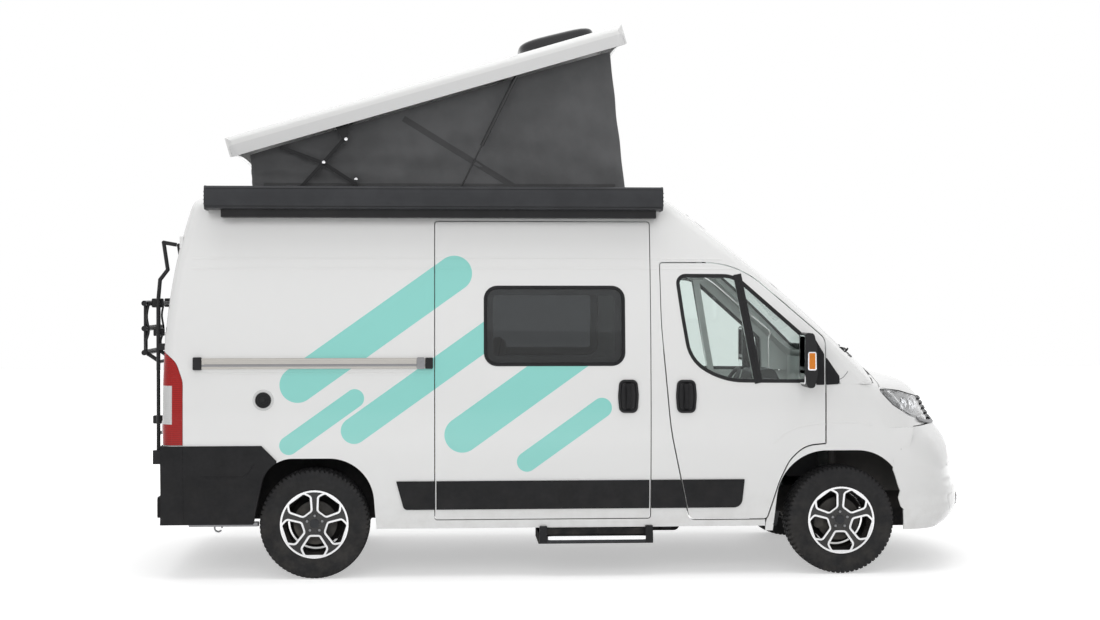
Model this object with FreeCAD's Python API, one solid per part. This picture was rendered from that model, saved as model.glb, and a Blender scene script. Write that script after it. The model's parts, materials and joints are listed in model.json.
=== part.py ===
"""Camper van: a medium-wheelbase panel van with a pop-up roof, an awning, a side step and a rear carrier.

The van is drawn in its own axle frame: X forward from the front axle, Y to the left, Z up from the
ground, in millimetres. write() shifts it so that the origin is on the ground under the middle of the van.
The body skin is a hollow hull: one cross-section of tangent arcs, trimmed at both ends by a plan shape.
Every panel, door and pane is a region of that hull, so neighbours share one surface.
"""
import math
import os

import FreeCAD, Part

Vector = FreeCAD.Vector

# ---- overall sizes -------------------------------------------------------------------------------
WHEELBASE = 3450.0
FRONT_OVERHANG = 948.0
REAR_OVERHANG = 1010.0
BODY_WIDTH = 2050.0
ROOF_Z = 2524.0
SILL_Z = 322.0
FLOOR_Z = 540.0
FLOOR_THICK = 60.0
CARRIER_REACH = 130.0        # how far the rear carrier stands out behind the doors
MIRROR_SPAN = 2500.0         # over both door mirrors

# ---- skin and gaps -------------------------------------------------------------------------------
WALL = 48.0                  # side wall or door, outer skin to inner trim
GLASS = 5.0
GLASS_INSET = 9.0            # the panes sit this far inside the outer skin
FRONT_SHELL = 20.0           # bonnet, wings and bumper
SHUT_GAP = 6.0               # between a door and its frame
HINGE_GAP = 9.0              # at a door's hinge edge

# ---- cross-section arcs --------------------------------------------------------------------------
WAIST_Z = 950.0              # the widest height, where both side arcs stand upright
LOWER_SIDE_R = 5600.0
UPPER_SIDE_R = 8300.0
ROOF_CROWN_R = 6000.0
ROOF_CORNER_R = 110.0
REAR_CORNER_R = 75.0
SCREEN_CORNER_R = 80.0

# ---- wheels --------------------------------------------------------------------------------------
TYRE_R = 356.0
TYRE_WIDTH = 235.0
RIM_R = 220.0
WHEEL_Y = 888.0              # middle of the tyre

# ---- stations along X, from the front axle -------------------------------------------------------
REAR_AXLE_X = -WHEELBASE
TAIL_X = REAR_AXLE_X - REAR_OVERHANG
NOSE_X = FRONT_OVERHANG
FIREWALL_X = 60.0
B_POST_X = -1230.0           # middle of the post between the front and the sliding door
HALF_WIDTH = BODY_WIDTH / 2
ORIGIN_X = (NOSE_X + TAIL_X - CARRIER_REACH) / 2

# Plan shape of the cabin: height, windscreen on the centre line, tail on the centre line
CABIN_TABLE = (
    # z,     x_screen, x_tail
    (300.0,  1458.0,   TAIL_X),
    (1400.0, 259.0,    TAIL_X + 12),
    (1900.0, -287.0,   TAIL_X + 62),
    (2300.0, -788.0,   TAIL_X + 150),
    (2640.0, -1262.0,  TAIL_X + 262),
)
SCREEN_BOW_R = 2600.0
TAIL_BOW_R = 15000.0
SCREEN_LEAN = 1.45           # horizontal run of the screen for one unit of thickness

# Plan shape of the nose: height, front on the centre line, radius of its bow, radius of its corners
NOSE_TABLE = (
    # z,     behind the nose, bow_r, corner_r
    (290.0,  68.0,  1700.0, 380.0),
    (420.0,  4.0,   1700.0, 380.0),
    (620.0,  6.0,   1700.0, 365.0),
    (860.0,  50.0,  1650.0, 335.0),
    (1000.0, 150.0, 1560.0, 300.0),
    (1110.0, 203.0, 1500.0, 280.0),
    (1180.0, 251.0, 1480.0, 270.0),
    (1225.0, 300.0, 1470.0, 265.0),
    (1300.0, 508.0, 1460.0, 262.0),
    (1403.0, 680.0, 1450.0, 258.0),
    (1470.0, 778.0, 1450.0, 255.0),
)
NOSE_BACK_X = -560.0


# ---- outline helpers -----------------------------------------------------------------------------
def place(plane, a, b, level):
    """A point of a flat outline: 'xz' seen from the side, 'yz' from the back, 'xy' from above."""
    if plane == "xz":
        return Vector(a, level, b)
    if plane == "yz":
        return Vector(level, a, b)
    return Vector(a, b, level)


def outline(plane, level, corners):
    """A closed wire through corners (a, b, radius), each one rounded by an arc of its own radius."""
    count = len(corners)
    arcs = []
    for i, (a, b, radius) in enumerate(corners):
        before, after = corners[i - 1], corners[(i + 1) % count]
        in_x, in_y = before[0] - a, before[1] - b
        out_x, out_y = after[0] - a, after[1] - b
        in_len, out_len = math.hypot(in_x, in_y), math.hypot(out_x, out_y)
        in_x, in_y, out_x, out_y = in_x / in_len, in_y / in_len, out_x / out_len, out_y / out_len
        if radius <= 0:
            arcs.append(((a, b), None, (a, b)))
            continue
        half = math.acos(max(-1.0, min(1.0, in_x * out_x + in_y * out_y))) / 2
        reach = min(radius / math.tan(half), 0.49 * in_len, 0.49 * out_len)
        radius = reach * math.tan(half)
        mid_len = math.hypot(in_x + out_x, in_y + out_y)
        inward = radius / math.sin(half) - radius
        middle = (a + (in_x + out_x) / mid_len * inward, b + (in_y + out_y) / mid_len * inward)
        arcs.append(((a + in_x * reach, b + in_y * reach), middle, (a + out_x * reach, b + out_y * reach)))
    edges = []
    for i, (start, middle, end) in enumerate(arcs):
        if middle:
            edges.append(Part.Arc(*(place(plane, p[0], p[1], level) for p in
                                    (start, middle, end))).toShape())
        following = arcs[(i + 1) % count][0]
        if math.hypot(following[0] - end[0], following[1] - end[1]) > 1e-6:
            edges.append(Part.makeLine(place(plane, *end, level), place(plane, *following, level)))
    return Part.Wire(edges)


NORMAL = {"xz": Vector(0, 1, 0), "yz": Vector(1, 0, 0), "xy": Vector(0, 0, 1)}


def prism(plane, low, high, corners, grow=0.0):
    """A rounded outline carried from one level to another; grow widens it all round by a gap."""
    wire = outline(plane, low, corners)
    if grow:
        wire = wire.makeOffset2D(grow)
    return Part.Face(wire).extrude(NORMAL[plane] * (high - low))


def box(x, y, z):
    """A block between two values on each axis."""
    return Part.makeBox(x[1] - x[0], y[1] - y[0], z[1] - z[0], Vector(x[0], y[0], z[0]))


def rod(start, end, radius):
    """A round bar between two points."""
    start, end = Vector(*start), Vector(*end)
    return Part.makeCylinder(radius, (end - start).Length, start, end - start)


def mirrored(shape):
    """The same piece on the other side of the van."""
    return shape.mirror(Vector(0, 0, 0), Vector(0, 1, 0))


def pair(shape):
    """A piece and its mirror image, as solids that don't touch."""
    return Part.makeCompound([shape, mirrored(shape)])


def sound(shape, least=1.0e5):
    """A shape without the crumbs that a cut may leave, as a solid or a compound of solids."""
    solids = [solid for solid in shape.Solids if solid.Volume > least]
    return solids[0] if len(solids) == 1 else Part.makeCompound(solids)


def fused(*shapes):
    """Shapes joined into one solid with shared faces merged."""
    return shapes[0].multiFuse(list(shapes[1:])).removeSplitter()


def turned(shape, pivot, degrees):
    """A piece turned about an axis along Y through pivot (x, z); positive lowers the front."""
    result = shape.copy()
    result.rotate(Vector(pivot[0], 0, pivot[1]), Vector(0, 1, 0), degrees)
    return result


# ---- the hull ------------------------------------------------------------------------------------
def half_width(z):
    """Half the body's width at a height."""
    radius = LOWER_SIDE_R if z < WAIST_Z else UPPER_SIDE_R
    return HALF_WIDTH - radius + math.sqrt(radius ** 2 - (z - WAIST_Z) ** 2)


def roof_corner_centre():
    """Centre of the arc that touches the upper side arc and the roof crown from inside."""
    side_y, side_r = HALF_WIDTH - UPPER_SIDE_R, UPPER_SIDE_R - ROOF_CORNER_R
    crown_z, crown_r = ROOF_Z - ROOF_CROWN_R, ROOF_CROWN_R - ROOF_CORNER_R
    dy, dz = -side_y, crown_z - WAIST_Z
    apart = math.hypot(dy, dz)
    along = (side_r ** 2 - crown_r ** 2 + apart ** 2) / (2 * apart)
    across = math.sqrt(side_r ** 2 - along ** 2)
    uy, uz = dy / apart, dz / apart
    return side_y + uy * along - uz * across, WAIST_Z + uz * along + uy * across


CORNER_Y, CORNER_Z = roof_corner_centre()


def on_circle(centre, radius, angle):
    """A point of a circle in the YZ plane."""
    return centre[0] + radius * math.cos(angle), centre[1] + radius * math.sin(angle)


def cross_section(inset, z_low, x):
    """The van's cross-section, moved inwards by inset and open at the bottom along a straight line."""
    lower = ((HALF_WIDTH - LOWER_SIDE_R, WAIST_Z), LOWER_SIDE_R - inset)
    upper = ((HALF_WIDTH - UPPER_SIDE_R, WAIST_Z), UPPER_SIDE_R - inset)
    corner = ((CORNER_Y, CORNER_Z), ROOF_CORNER_R - inset)
    crown = ((0.0, ROOF_Z - ROOF_CROWN_R), ROOF_CROWN_R - inset)
    foot = math.asin((z_low - WAIST_Z) / lower[1])
    top = math.atan2(CORNER_Z - WAIST_Z, CORNER_Y - upper[0][0])
    rim = math.atan2(CORNER_Z - crown[0][1], CORNER_Y)
    arcs = [(lower, foot, 0.0), (upper, 0.0, top), (corner, top, rim), (crown, rim, math.pi - rim)]
    edges = []
    for (centre, radius), start, end in arcs:
        points = [on_circle(centre, radius, angle) for angle in (start, (start + end) / 2, end)]
        edges.append(Part.Arc(*(Vector(x, y, z) for y, z in points)).toShape())
        if centre[0]:
            edges.append(Part.Arc(*(Vector(x, -y, z) for y, z in points)).toShape())
    y_low, _ = on_circle(*lower, foot)
    edges.append(Part.makeLine(Vector(x, -y_low, z_low), Vector(x, y_low, z_low)))
    return Part.Wire(Part.__sortEdges__(edges))


def bow(x, radius, reach, z, forward):
    """An arc across the van with its middle at x, bulging forwards or backwards."""
    drop = radius - math.sqrt(radius ** 2 - reach ** 2)
    end = x - drop if forward else x + drop
    side = 1 if forward else -1
    points = (Vector(end, -side * reach, z), Vector(x, 0, z), Vector(end, side * reach, z))
    return Part.Arc(*points).toShape()


def cabin_plan(inset):
    """The block that trims the cross-section: the windscreen in front and the tail behind."""
    reach = HALF_WIDTH + 300
    wires = []
    for z, x_screen, x_tail in CABIN_TABLE:
        front = bow(x_screen - inset * SCREEN_LEAN, SCREEN_BOW_R, reach, z, True)
        back = bow(x_tail + inset, TAIL_BOW_R, reach, z, False)
        ends = [edge.Vertexes for edge in (front, back)]
        left = Part.makeLine(ends[0][-1].Point, ends[1][0].Point)
        right = Part.makeLine(ends[1][-1].Point, ends[0][0].Point)
        wires.append(Part.Wire([front, left, back, right]))
    return Part.makeLoft(wires, True, False)


def face_near(shape, point):
    """The face of a solid that passes nearest to a point."""
    vertex = Part.Vertex(Vector(*point))
    return min(shape.Faces, key=lambda face: face.distToShape(vertex)[0])


def hull(inset, z_low=SILL_Z, rounded=False):
    """The van's body as a solid, moved inwards by inset; the outer one has its corners rounded."""
    long_bar = Part.Face(cross_section(inset, z_low,
                                       TAIL_X - 200)).extrude(Vector(FIREWALL_X + 180 - TAIL_X + 200, 0, 0))
    body = long_bar.common(cabin_plan(inset))
    if rounded:
        for point, radius in (((TAIL_X + 30, 0, 1500), REAR_CORNER_R), ((-500, 0, 2080), SCREEN_CORNER_R)):
            face = face_near(body, point)
            edges = [e for e in face.Edges if e.BoundBox.ZLength > 40 or e.BoundBox.ZMin > 2300]
            edges = [e for e in edges if e.BoundBox.XMax < FIREWALL_X + 181 or e.BoundBox.ZLength > 200]
            body = body.makeFillet(radius, edges)
    return body



def nose(inset):
    """The front end as one solid: bumper, grille face and bonnet in a single smooth surface."""
    wires = []
    for z, behind, bow_r, corner_r in NOSE_TABLE:
        front = NOSE_X - behind - inset
        bow_r, corner_r, width = bow_r - inset, corner_r - inset, half_width(z) - inset
        centre_x = front - bow_r
        corner_y = width - corner_r
        corner_x = centre_x + math.sqrt((bow_r - corner_r) ** 2 - corner_y ** 2)
        swing = math.atan2(corner_y, corner_x - centre_x)
        middle = (swing + math.pi / 2) / 2
        side = (corner_x, width)
        bend = (corner_x + corner_r * math.cos(middle), corner_y + corner_r * math.sin(middle))
        meet = (centre_x + bow_r * math.cos(swing), bow_r * math.sin(swing))
        left = [Vector(x, y, z) for x, y in (side, bend, meet)]
        right = [Vector(x, -y, z) for x, y in (meet, bend, side)]
        back = (Vector(NOSE_BACK_X, -width, z), Vector(NOSE_BACK_X, width, z))
        wires.append(Part.Wire([
            Part.makeLine(back[1], left[0]),
            Part.Arc(*left).toShape(),
            Part.Arc(left[2], Vector(front, 0, z), right[0]).toShape(),
            Part.Arc(*right).toShape(),
            Part.makeLine(right[2], back[0]),
            Part.makeLine(*back),
        ]))
    return Part.makeLoft(wires, True, False)


# ---- openings seen from the side: corners (x, z, radius) -----------------------------------------
DOOR_OVER_ARCH = ((-112, 868, 0.0), (-245, 856, 260), (-352, 760, 260), (-418, 616, 500))
FRONT_DOOR = (
    (-1197, 2048, 14), (-690, 2050, 600), (-112, 1554, 70), *DOOR_OVER_ARCH,
    (-496, 371, 25), (-1005, 371, 45), (-1128, 960, 1800), (-1190, 1650, 2500),
)
FRONT_WINDOW = (
    (-1100, 1978, 60), (-702, 1976, 210), (-172, 1510, 45), (-158, 1262, 35),
    (-780, 1268, 700), (-1012, 1400, 260), (-1062, 1700, 1200),
)
WINDOW_POST = ((-712, 2000, 0), (-664, 2000, 0), (-528, 1240, 0), (-576, 1240, 0))
SLIDING_DOOR = ((-2670, 2318, 16), (-1266, 2318, 16), (-1266, 381, 16), (-2670, 381, 16))
SLIDING_WINDOW = ((-2353, 1899, 85), (-1432, 1899, 85), (-1432, 1378, 85), (-2353, 1378, 85))
REAR_SIDE_WINDOW = ((-3990, 1899, 85), (-3140, 1899, 85), (-3140, 1378, 85), (-3990, 1378, 85))
FRONT_ARCH = ((-462, 200, 0), (-400, 819, 330), (396, 819, 310), (428, 200, 0))
REAR_ARCH = ((REAR_AXLE_X - 428, 200, 0), (REAR_AXLE_X - 300, 784, 200), (REAR_AXLE_X + 365, 784, 290),
             (REAR_AXLE_X + 408, 200, 0))
BUMPER_SIDE = ((1200, 100, 0), (1200, 968, 0), (492, 968, 20), (470, 900, 120), (345, 752, 0),
               (380, 100, 0))
HEADLAMP_SIDE = ((238, 1226, 12), (430, 1196, 60), (640, 1140, 60), (1100, 1088, 0), (1100, 978, 0),
                 (620, 992, 40), (470, 1040, 60), (345, 1115, 40))

# Seen from the back: corners (y, z, radius)
REAR_DOOR = ((3.5, 2322, 12), (868, 2322, 60), (868, 548, 30), (3.5, 548, 12))
REAR_WINDOW = ((95, 1930, 70), (690, 1930, 70), (740, 1380, 80), (95, 1380, 70))
TAIL_LAMP = ((905, 1478, 30), (1200, 1478, 0), (1200, 872, 0), (905, 872, 30))
TAIL_LAMP_SIDE = ((-4600, 1478, 0), (-4412, 1478, 30), (-4330, 1410, 130), (-4286, 1285, 160),
                  (-4286, 872, 0),
                  (-4600, 872, 0))
SCREEN_GLASS = ((-868, 1425, 60), (868, 1425, 60), (735, 2385, 130), (-735, 2385, 130))

# Seen from above: corners (x, y, radius)
BONNET_PLAN = ((330, 0, 2600), (262, 840, 20), (262, 1100, 0), (1200, 1100, 0), (1200, -1100, 0),
               (262, -1100, 0), (262, -840, 20))
STRIP_SIDE = ((-2922, 632, 3), (-646, 632, 3), (-664, 446, 55),
              (-2872, 446, 30))    # rubbing strip, seen from the side
FRONT_HINGE = (-158.0, 1004.0)       # door hinge axis (x, y)
REAR_HINGE = (TAIL_X - 6.0, 884.0)   # rear door hinge axis (x, y)
BONNET_HINGE = (215.0, 1350.0)       # bonnet hinge axis (x, z)
HOUSE_ROOM = 24.0                    # how much further out a wheel house runs than its arch
HOUSE_WALL = 8.0
CAB_SHOULDER_Z = 985.0               # above this the cab runs over the front wheel houses
RAIL_REAR_X = TAIL_X + 75.0
RAIL_Y = (480.0, 560.0)
RAIL_LOW_Z = FLOOR_Z - 170.0
TOW_BOLTS = {"x": RAIL_REAR_X + 160.0, "pitch_x": 100.0, "pitch_y": 1032.0, "hole_r": 6.5}
GRILLE_HALF = 560.0
CARRIER_POST = 20.0                  # from the tail to the middle of the carrier's posts
POST_R = 13.0
TRAY_TUBE_R = 18.0
MEETING_DEPTH = 20.0                 # how deep the rear doors meet edge to edge
MEETING_RELIEF = 18.0                # and how far their inner edges then stand back from the middle
BUMPER_LOW_Z = 358.0                 # rear bumper's lower edge
ROOF_SEAM_Z = 2345.0

# ---- pop-up roof ---------------------------------------------------------------------------------
LID_LENGTH = 2727.0
LID_HALF = 850.0
LID_HEIGHT = 150.0
LID_WALL = 20.0
LID_CROWN = 26.0
LID_TILT = 16.4              # open, degrees
LID_REAR = (-4010.0, 2735.0)  # lower rear corner when open (x, z)
LID_SHUT_Z = 2472.0          # its lower rim when closed
ARM_BASE = (-3558.0, 2540.0)
ARM_TOP_LOCAL = (757.0, -78.0)   # along the lid from its rear corner, and up from its rim
CROSS_PIN = (-3406.0, 2709.0)
LINK_TOP = (-3676.0, 2809.0)
LINK_FOOT = (-3197.0, 2574.0)
LINK_SHUT_TURN = -13.9       # the crossing arm's own turn from open to closed
STRUT_TOP_LOCAL = (1977.0, 25.0)
STRUT_BASE = (-2525.0, 2497.0)
OPENING_X = (-3760.0, -1500.0)
OPENING_HALF = 690.0
TENT_HALF = 738.0
ARM_THICK = 7.0
LINK_Y = 768.0               # inner face of the crossing arms
ARM_Y = 778.0                # inner face of the main arms
STRUT_Y = 805.0              # middle of the gas struts
PIN_R = 7.0                  # stay pins
BASE_PIN_R = 5.5             # pins on the roof's own brackets
PIN_PLAY = 0.6               # between a pin and its hole
EAR_THICK = 7.0
ARM_EAR_Y = 791.0            # inner face of the ears beside the main arms
STRUT_EAR_Y = 821.0          # inner face of the lid's ears beside the struts
STRUT_ROD_R = 5.0
CHANNEL_Y = (758.0, 822.0)
CHANNEL_X = (-3610.0, -3070.0)
CHANNEL_FLOOR_Z = 2362.0


def from_lid(along, up, rear=LID_REAR, tilt=LID_TILT):
    """A point given along the lid and up from its rim, as (x, z) of the open lid."""
    c, s = math.cos(math.radians(tilt)), math.sin(math.radians(tilt))
    return rear[0] + along * c - up * s, rear[1] + along * s + up * c


def angle_to(start, end):
    """Direction from one (x, z) point to another, in degrees above the horizontal."""
    return math.degrees(math.atan2(end[1] - start[1], end[0] - start[0]))


def distance(start, end):
    return math.hypot(end[0] - start[0], end[1] - start[1])


ARM_TOP = from_lid(*ARM_TOP_LOCAL)
STRUT_TOP = from_lid(*STRUT_TOP_LOCAL)
ARM_LENGTH = distance(ARM_BASE, ARM_TOP)
ARM_TOP_SHUT_Z = LID_SHUT_Z + ARM_TOP_LOCAL[1]
ARM_TOP_SHUT = (ARM_BASE[0] + math.sqrt(ARM_LENGTH ** 2 - (ARM_TOP_SHUT_Z - ARM_BASE[1]) ** 2),
                ARM_TOP_SHUT_Z)
LID_REAR_SHUT = (ARM_TOP_SHUT[0] - ARM_TOP_LOCAL[0], LID_SHUT_Z)
STRUT_TOP_SHUT = (LID_REAR_SHUT[0] + STRUT_TOP_LOCAL[0], LID_SHUT_Z + STRUT_TOP_LOCAL[1])
ARM_TURN = angle_to(ARM_BASE, ARM_TOP) - angle_to(ARM_BASE, ARM_TOP_SHUT)
STRUT_TURN = (angle_to(STRUT_TOP, STRUT_BASE) - angle_to(STRUT_TOP_SHUT, STRUT_BASE)) % 360
STRUT_STROKE = distance(STRUT_BASE, STRUT_TOP) - distance(STRUT_BASE, STRUT_TOP_SHUT)


def opened(shape):
    """A piece drawn on the closed lid, carried to where the open lid holds it."""
    result = turned(shape, LID_REAR_SHUT, -LID_TILT)
    result.translate(Vector(LID_REAR[0] - LID_REAR_SHUT[0], 0, LID_REAR[1] - LID_REAR_SHUT[1]))
    return result


def pop_roof():
    """The lid: a shallow crowned tray, cut below to follow the roof that it closes on."""
    x0, z0 = LID_REAR_SHUT
    x1 = x0 + LID_LENGTH
    rim = LID_HALF
    shells = []
    for inset in (0.0, LID_WALL):
        y, z = rim - inset, z0 + LID_HEIGHT - inset
        low = z0 - 60 - inset * 2
        crown = Part.Arc(Vector(x0, -y + 60, z - 12), Vector(x0, 0, z + LID_CROWN),
                         Vector(x0, y - 60, z - 12))
        edges = [Part.makeLine(Vector(x0, -y, low), Vector(x0, -y, z - 75)),
                 Part.Arc(Vector(x0, -y, z - 75), Vector(x0, -y + 16, z - 32),
                          Vector(x0, -y + 60, z - 12)).toShape(),
                 crown.toShape(),
                 Part.Arc(Vector(x0, y - 60, z - 12), Vector(x0, y - 16, z - 32),
                          Vector(x0, y, z - 75)).toShape(),
                 Part.makeLine(Vector(x0, y, z - 75), Vector(x0, y, low)),
                 Part.makeLine(Vector(x0, y, low), Vector(x0, -y, low))]
        bar = Part.Face(Part.Wire(edges)).extrude(Vector(LID_LENGTH - 2 * inset, 0, 0))
        bar.translate(Vector(inset, 0, 0))
        shells.append(bar)
    plan = prism("xy", z0 - 200, z0 + 400, ((x0, -rim, 70), (x1, -rim, 70), (x1, rim, 70), (x0, rim, 70)))
    tray = shells[0].common(plan).cut(shells[1])
    tray = tray.cut(hull(-8.0))
    tray = tray.cut(box((x0 - 10, x1 + 10), (-900, 900), (z0 - 300, z0)))
    brackets = []
    for along, up, y, width, high in ((*ARM_TOP_LOCAL, ARM_EAR_Y, EAR_THICK, 60.0),
                                      (*STRUT_TOP_LOCAL, STRUT_EAR_Y, EAR_THICK, 30.0)):
        x, z = x0 + along, z0 + up
        ear = prism("xz", y, y + width, ((x - 16, z - 16, 12), (x + 16, z - 16, 12), (x + high, z0 + 80, 5),
                                         (x + high, z0 + 126, 5), (x - high, z0 + 126, 5),
                                         (x - high, z0 + 80, 5)))
        brackets.append(ear)
        brackets.append(box((x - high, x + high), (y, LID_HALF - LID_WALL / 2), (z0 + 84, z0 + 92)))
    for shape in list(brackets):
        brackets.append(mirrored(shape))
    lid = fused(tray, *brackets)
    for along, up in (ARM_TOP_LOCAL, STRUT_TOP_LOCAL):
        for side in (-1, 1):
            lid = lid.cut(rod((x0 + along, side * 780, z0 + up), (x0 + along, side * 829, z0 + up),
                              PIN_R + PIN_PLAY))
    return opened(lid)


def roof_hatch():
    """A low domed hatch on the lid, in front of the middle."""
    x0, z0 = LID_REAR_SHUT[0] + 1960, LID_REAR_SHUT[1] + LID_HEIGHT
    base = prism("xy", z0 + 2, z0 + LID_CROWN + 22,
                 ((x0, -240, 60), (x0 + 500, -240, 60), (x0 + 500, 240, 60), (x0, 240, 60)))
    dome = Part.makeSphere(1200.0, Vector(x0 + 250, 0, z0 - 1200 + 72))
    cap = prism("xy", z0 + 2, z0 + 100,
                ((x0 + 25, -215, 60), (x0 + 475, -215, 60), (x0 + 475, 215, 60),
                 (x0 + 25, 215, 60))).common(dome)
    blank = pop_roof_blank()
    blank.translate(Vector(0, 0, 1))
    return opened(fused(base, cap).cut(blank))


def pop_roof_blank():
    """The space the closed lid's own skin takes, for seating what stands on it."""
    x0, z0 = LID_REAR_SHUT
    y, z = LID_HALF, z0 + LID_HEIGHT
    crown = Part.Arc(Vector(x0, -y + 60, z - 12), Vector(x0, 0, z + LID_CROWN),
                     Vector(x0, y - 60, z - 12)).toShape()
    close = [Part.makeLine(Vector(x0, y - 60, z - 12), Vector(x0, y - 60, z - 60)),
             Part.makeLine(Vector(x0, y - 60, z - 60), Vector(x0, -y + 60, z - 60)),
             Part.makeLine(Vector(x0, -y + 60, z - 60), Vector(x0, -y + 60, z - 12))]
    return Part.Face(Part.Wire([crown] + close)).extrude(Vector(LID_LENGTH, 0, 0))


def flat_bar(points, width, y_low, y_high):
    """A flat bar through (x, z) points with round ends and a pin hole's boss at each point."""
    parts = []
    for start, end in zip(points, points[1:]):
        length = distance(start, end)
        bar = box((0, length), (y_low, y_high), (-width / 2, width / 2))
        bar.rotate(Vector(0, 0, 0), Vector(0, 1, 0), -angle_to(start, end))
        bar.translate(Vector(start[0], 0, start[1]))
        parts.append(bar)
    for x, z in points:
        parts.append(rod((x, y_low, z), (x, y_high, z), width * 0.62))
    return fused(*parts)


def cross_rod(point, y_low, y_high, radius=PIN_R):
    """A pin or its hole, across the van at an (x, z) point."""
    return rod((point[0], y_low, point[1]), (point[0], y_high, point[1]), radius)


def scissor_arms():
    """The main arms of the lid's rear stays, one each side, with the pins that they carry."""
    arm = flat_bar((ARM_BASE, CROSS_PIN, ARM_TOP), 24.0, ARM_Y, ARM_Y + ARM_THICK)
    arm = arm.cut(cross_rod(ARM_BASE, ARM_Y - 5, ARM_Y + ARM_THICK + 5, BASE_PIN_R + PIN_PLAY))
    pins = [cross_rod(ARM_TOP, ARM_Y, ARM_EAR_Y + EAR_THICK + 3),
            cross_rod(CROSS_PIN, LINK_Y - 3, ARM_Y + ARM_THICK + 4)]
    return pair(fused(arm, *pins))


def scissor_links():
    """The arms that cross the main arms behind them."""
    link = flat_bar((LINK_TOP, CROSS_PIN, LINK_FOOT), 24.0, LINK_Y, LINK_Y + ARM_THICK)
    link = link.cut(cross_rod(CROSS_PIN, LINK_Y - 5, LINK_Y + ARM_THICK + 2, PIN_R + PIN_PLAY))
    return pair(fused(link, cross_rod(LINK_FOOT, LINK_Y - 4, LINK_Y + 1)))


def strut_point(share):
    """A point of the open strut's line, from its base (0) to its top (1)."""
    return (STRUT_BASE[0] + (STRUT_TOP[0] - STRUT_BASE[0]) * share,
            STRUT_Y, STRUT_BASE[1] + (STRUT_TOP[1] - STRUT_BASE[1]) * share)


def strut_tubes():
    """The gas struts' cylinders, which hang from the lid by their eyes."""
    length = distance(STRUT_BASE, STRUT_TOP)
    split = 1 - (length - STRUT_STROKE - 60) / length
    tube = rod(strut_point(split), strut_point(1 - 14 / length), 12.0)
    bore = rod(strut_point(split - 0.02), strut_point(1 - 40 / length), STRUT_ROD_R + 1)
    eye = cross_rod(STRUT_TOP, STRUT_Y - 8, STRUT_Y + 8, 15.0)
    pin = cross_rod(STRUT_TOP, STRUT_Y + 6, STRUT_EAR_Y + EAR_THICK)
    return pair(fused(tube, eye, pin).cut(bore))


def strut_rods():
    """The gas struts' rods, each ending in an eye on the roof's bracket."""
    length = distance(STRUT_BASE, STRUT_TOP)
    split = 1 - (length - STRUT_STROKE - 60) / length
    shaft = rod(strut_point(9 / length), strut_point(split + 30 / length), STRUT_ROD_R)
    eye = cross_rod(STRUT_BASE, STRUT_Y - 7, STRUT_Y + 7, 13.0)
    return pair(fused(shaft, eye).cut(cross_rod(STRUT_BASE, STRUT_Y - 20, STRUT_Y + 20,
                                                BASE_PIN_R + PIN_PLAY)))


def roof_brackets():
    """Base ears for the stays and struts, on the roof beside the opening."""
    ears = []
    for point, pin_y, ear_y in ((ARM_BASE, ARM_Y - 1, ARM_EAR_Y), (STRUT_BASE, STRUT_Y - 9, STRUT_Y + 10)):
        x, z = point
        ear = prism("xz", ear_y, ear_y + EAR_THICK,
                    ((x - 16, z + 15, 14), (x + 16, z + 15, 14), (x + 40, 2440, 4), (x - 40, 2440, 4)))
        ears.append(fused(ear.cut(hull(0.0)), cross_rod(point, pin_y, ear_y + 2, BASE_PIN_R)))
    x, z = LINK_FOOT
    foot = prism("xz", LINK_Y - 12, LINK_Y - 5,
                 ((x - 14, z + 4, 5), (x + 14, z + 4, 5), (x + 40, 2440, 4), (x - 40, 2440, 4)))
    ears.append(foot.cut(hull(0.0)))
    return Part.makeCompound(ears + [mirrored(s) for s in ears])


def tent_fabric():
    """The tent between roof and lid, as one closed solid with the true outer shape."""
    x_rear, x_front = OPENING_X[0] - 120, OPENING_X[1] + 110
    lid_rear, lid_front = from_lid(120, -2), from_lid(LID_LENGTH - 110, -2)
    base_z = ROOF_Z + 4
    side = Part.makePolygon([Vector(x_rear, -TENT_HALF, base_z - 60),
                             Vector(x_front, -TENT_HALF, base_z - 60),
                             Vector(lid_front[0], -TENT_HALF, lid_front[1]), Vector(lid_rear[0], -TENT_HALF,
                                                                                    lid_rear[1]),
                             Vector(x_rear, -TENT_HALF, base_z - 60)])
    block = Part.Face(side).extrude(Vector(0, 2 * TENT_HALF, 0))
    inner = Part.makePolygon([Vector(x_rear + 12, -TENT_HALF + 12, base_z - 90),
                              Vector(x_front - 12, -TENT_HALF + 12, base_z - 90),
                              Vector(lid_front[0] - 12, -TENT_HALF + 12, lid_front[1] - 16),
                              Vector(lid_rear[0] + 12, -TENT_HALF + 12, lid_rear[1] - 8),
                              Vector(x_rear + 12, -TENT_HALF + 12, base_z - 90)])
    cavity = Part.Face(inner).extrude(Vector(0, 2 * TENT_HALF - 24, 0))
    return block.cut(cavity).cut(hull(-3.0))


# ---- body panels ---------------------------------------------------------------------------------
def both(make, *args, **kwargs):
    """The same prism on both sides of the van."""
    shape = make(*args, **kwargs)
    return Part.makeCompound([shape, mirrored(shape)])


OUT = HALF_WIDTH + 60


def side_prism(corners, grow=0.0, inner=500.0):
    """A prism through one side wall, on the right."""
    return prism("xz", -OUT, -inner, corners, grow)


class Body:
    """The hull's shells, built once and shared by every panel."""

    def __init__(self):
        self.outer = hull(0.0, rounded=True)
        self.walls = self.outer.cut(hull(WALL, z_low=SILL_Z - 30))
        self.pane = hull(GLASS_INSET).cut(hull(GLASS_INSET + GLASS))
        inner_nose = nose(FRONT_SHELL)
        inner_nose.translate(Vector(0, 0, -FRONT_SHELL))
        self.front = nose(0.0).cut(inner_nose)


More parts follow.
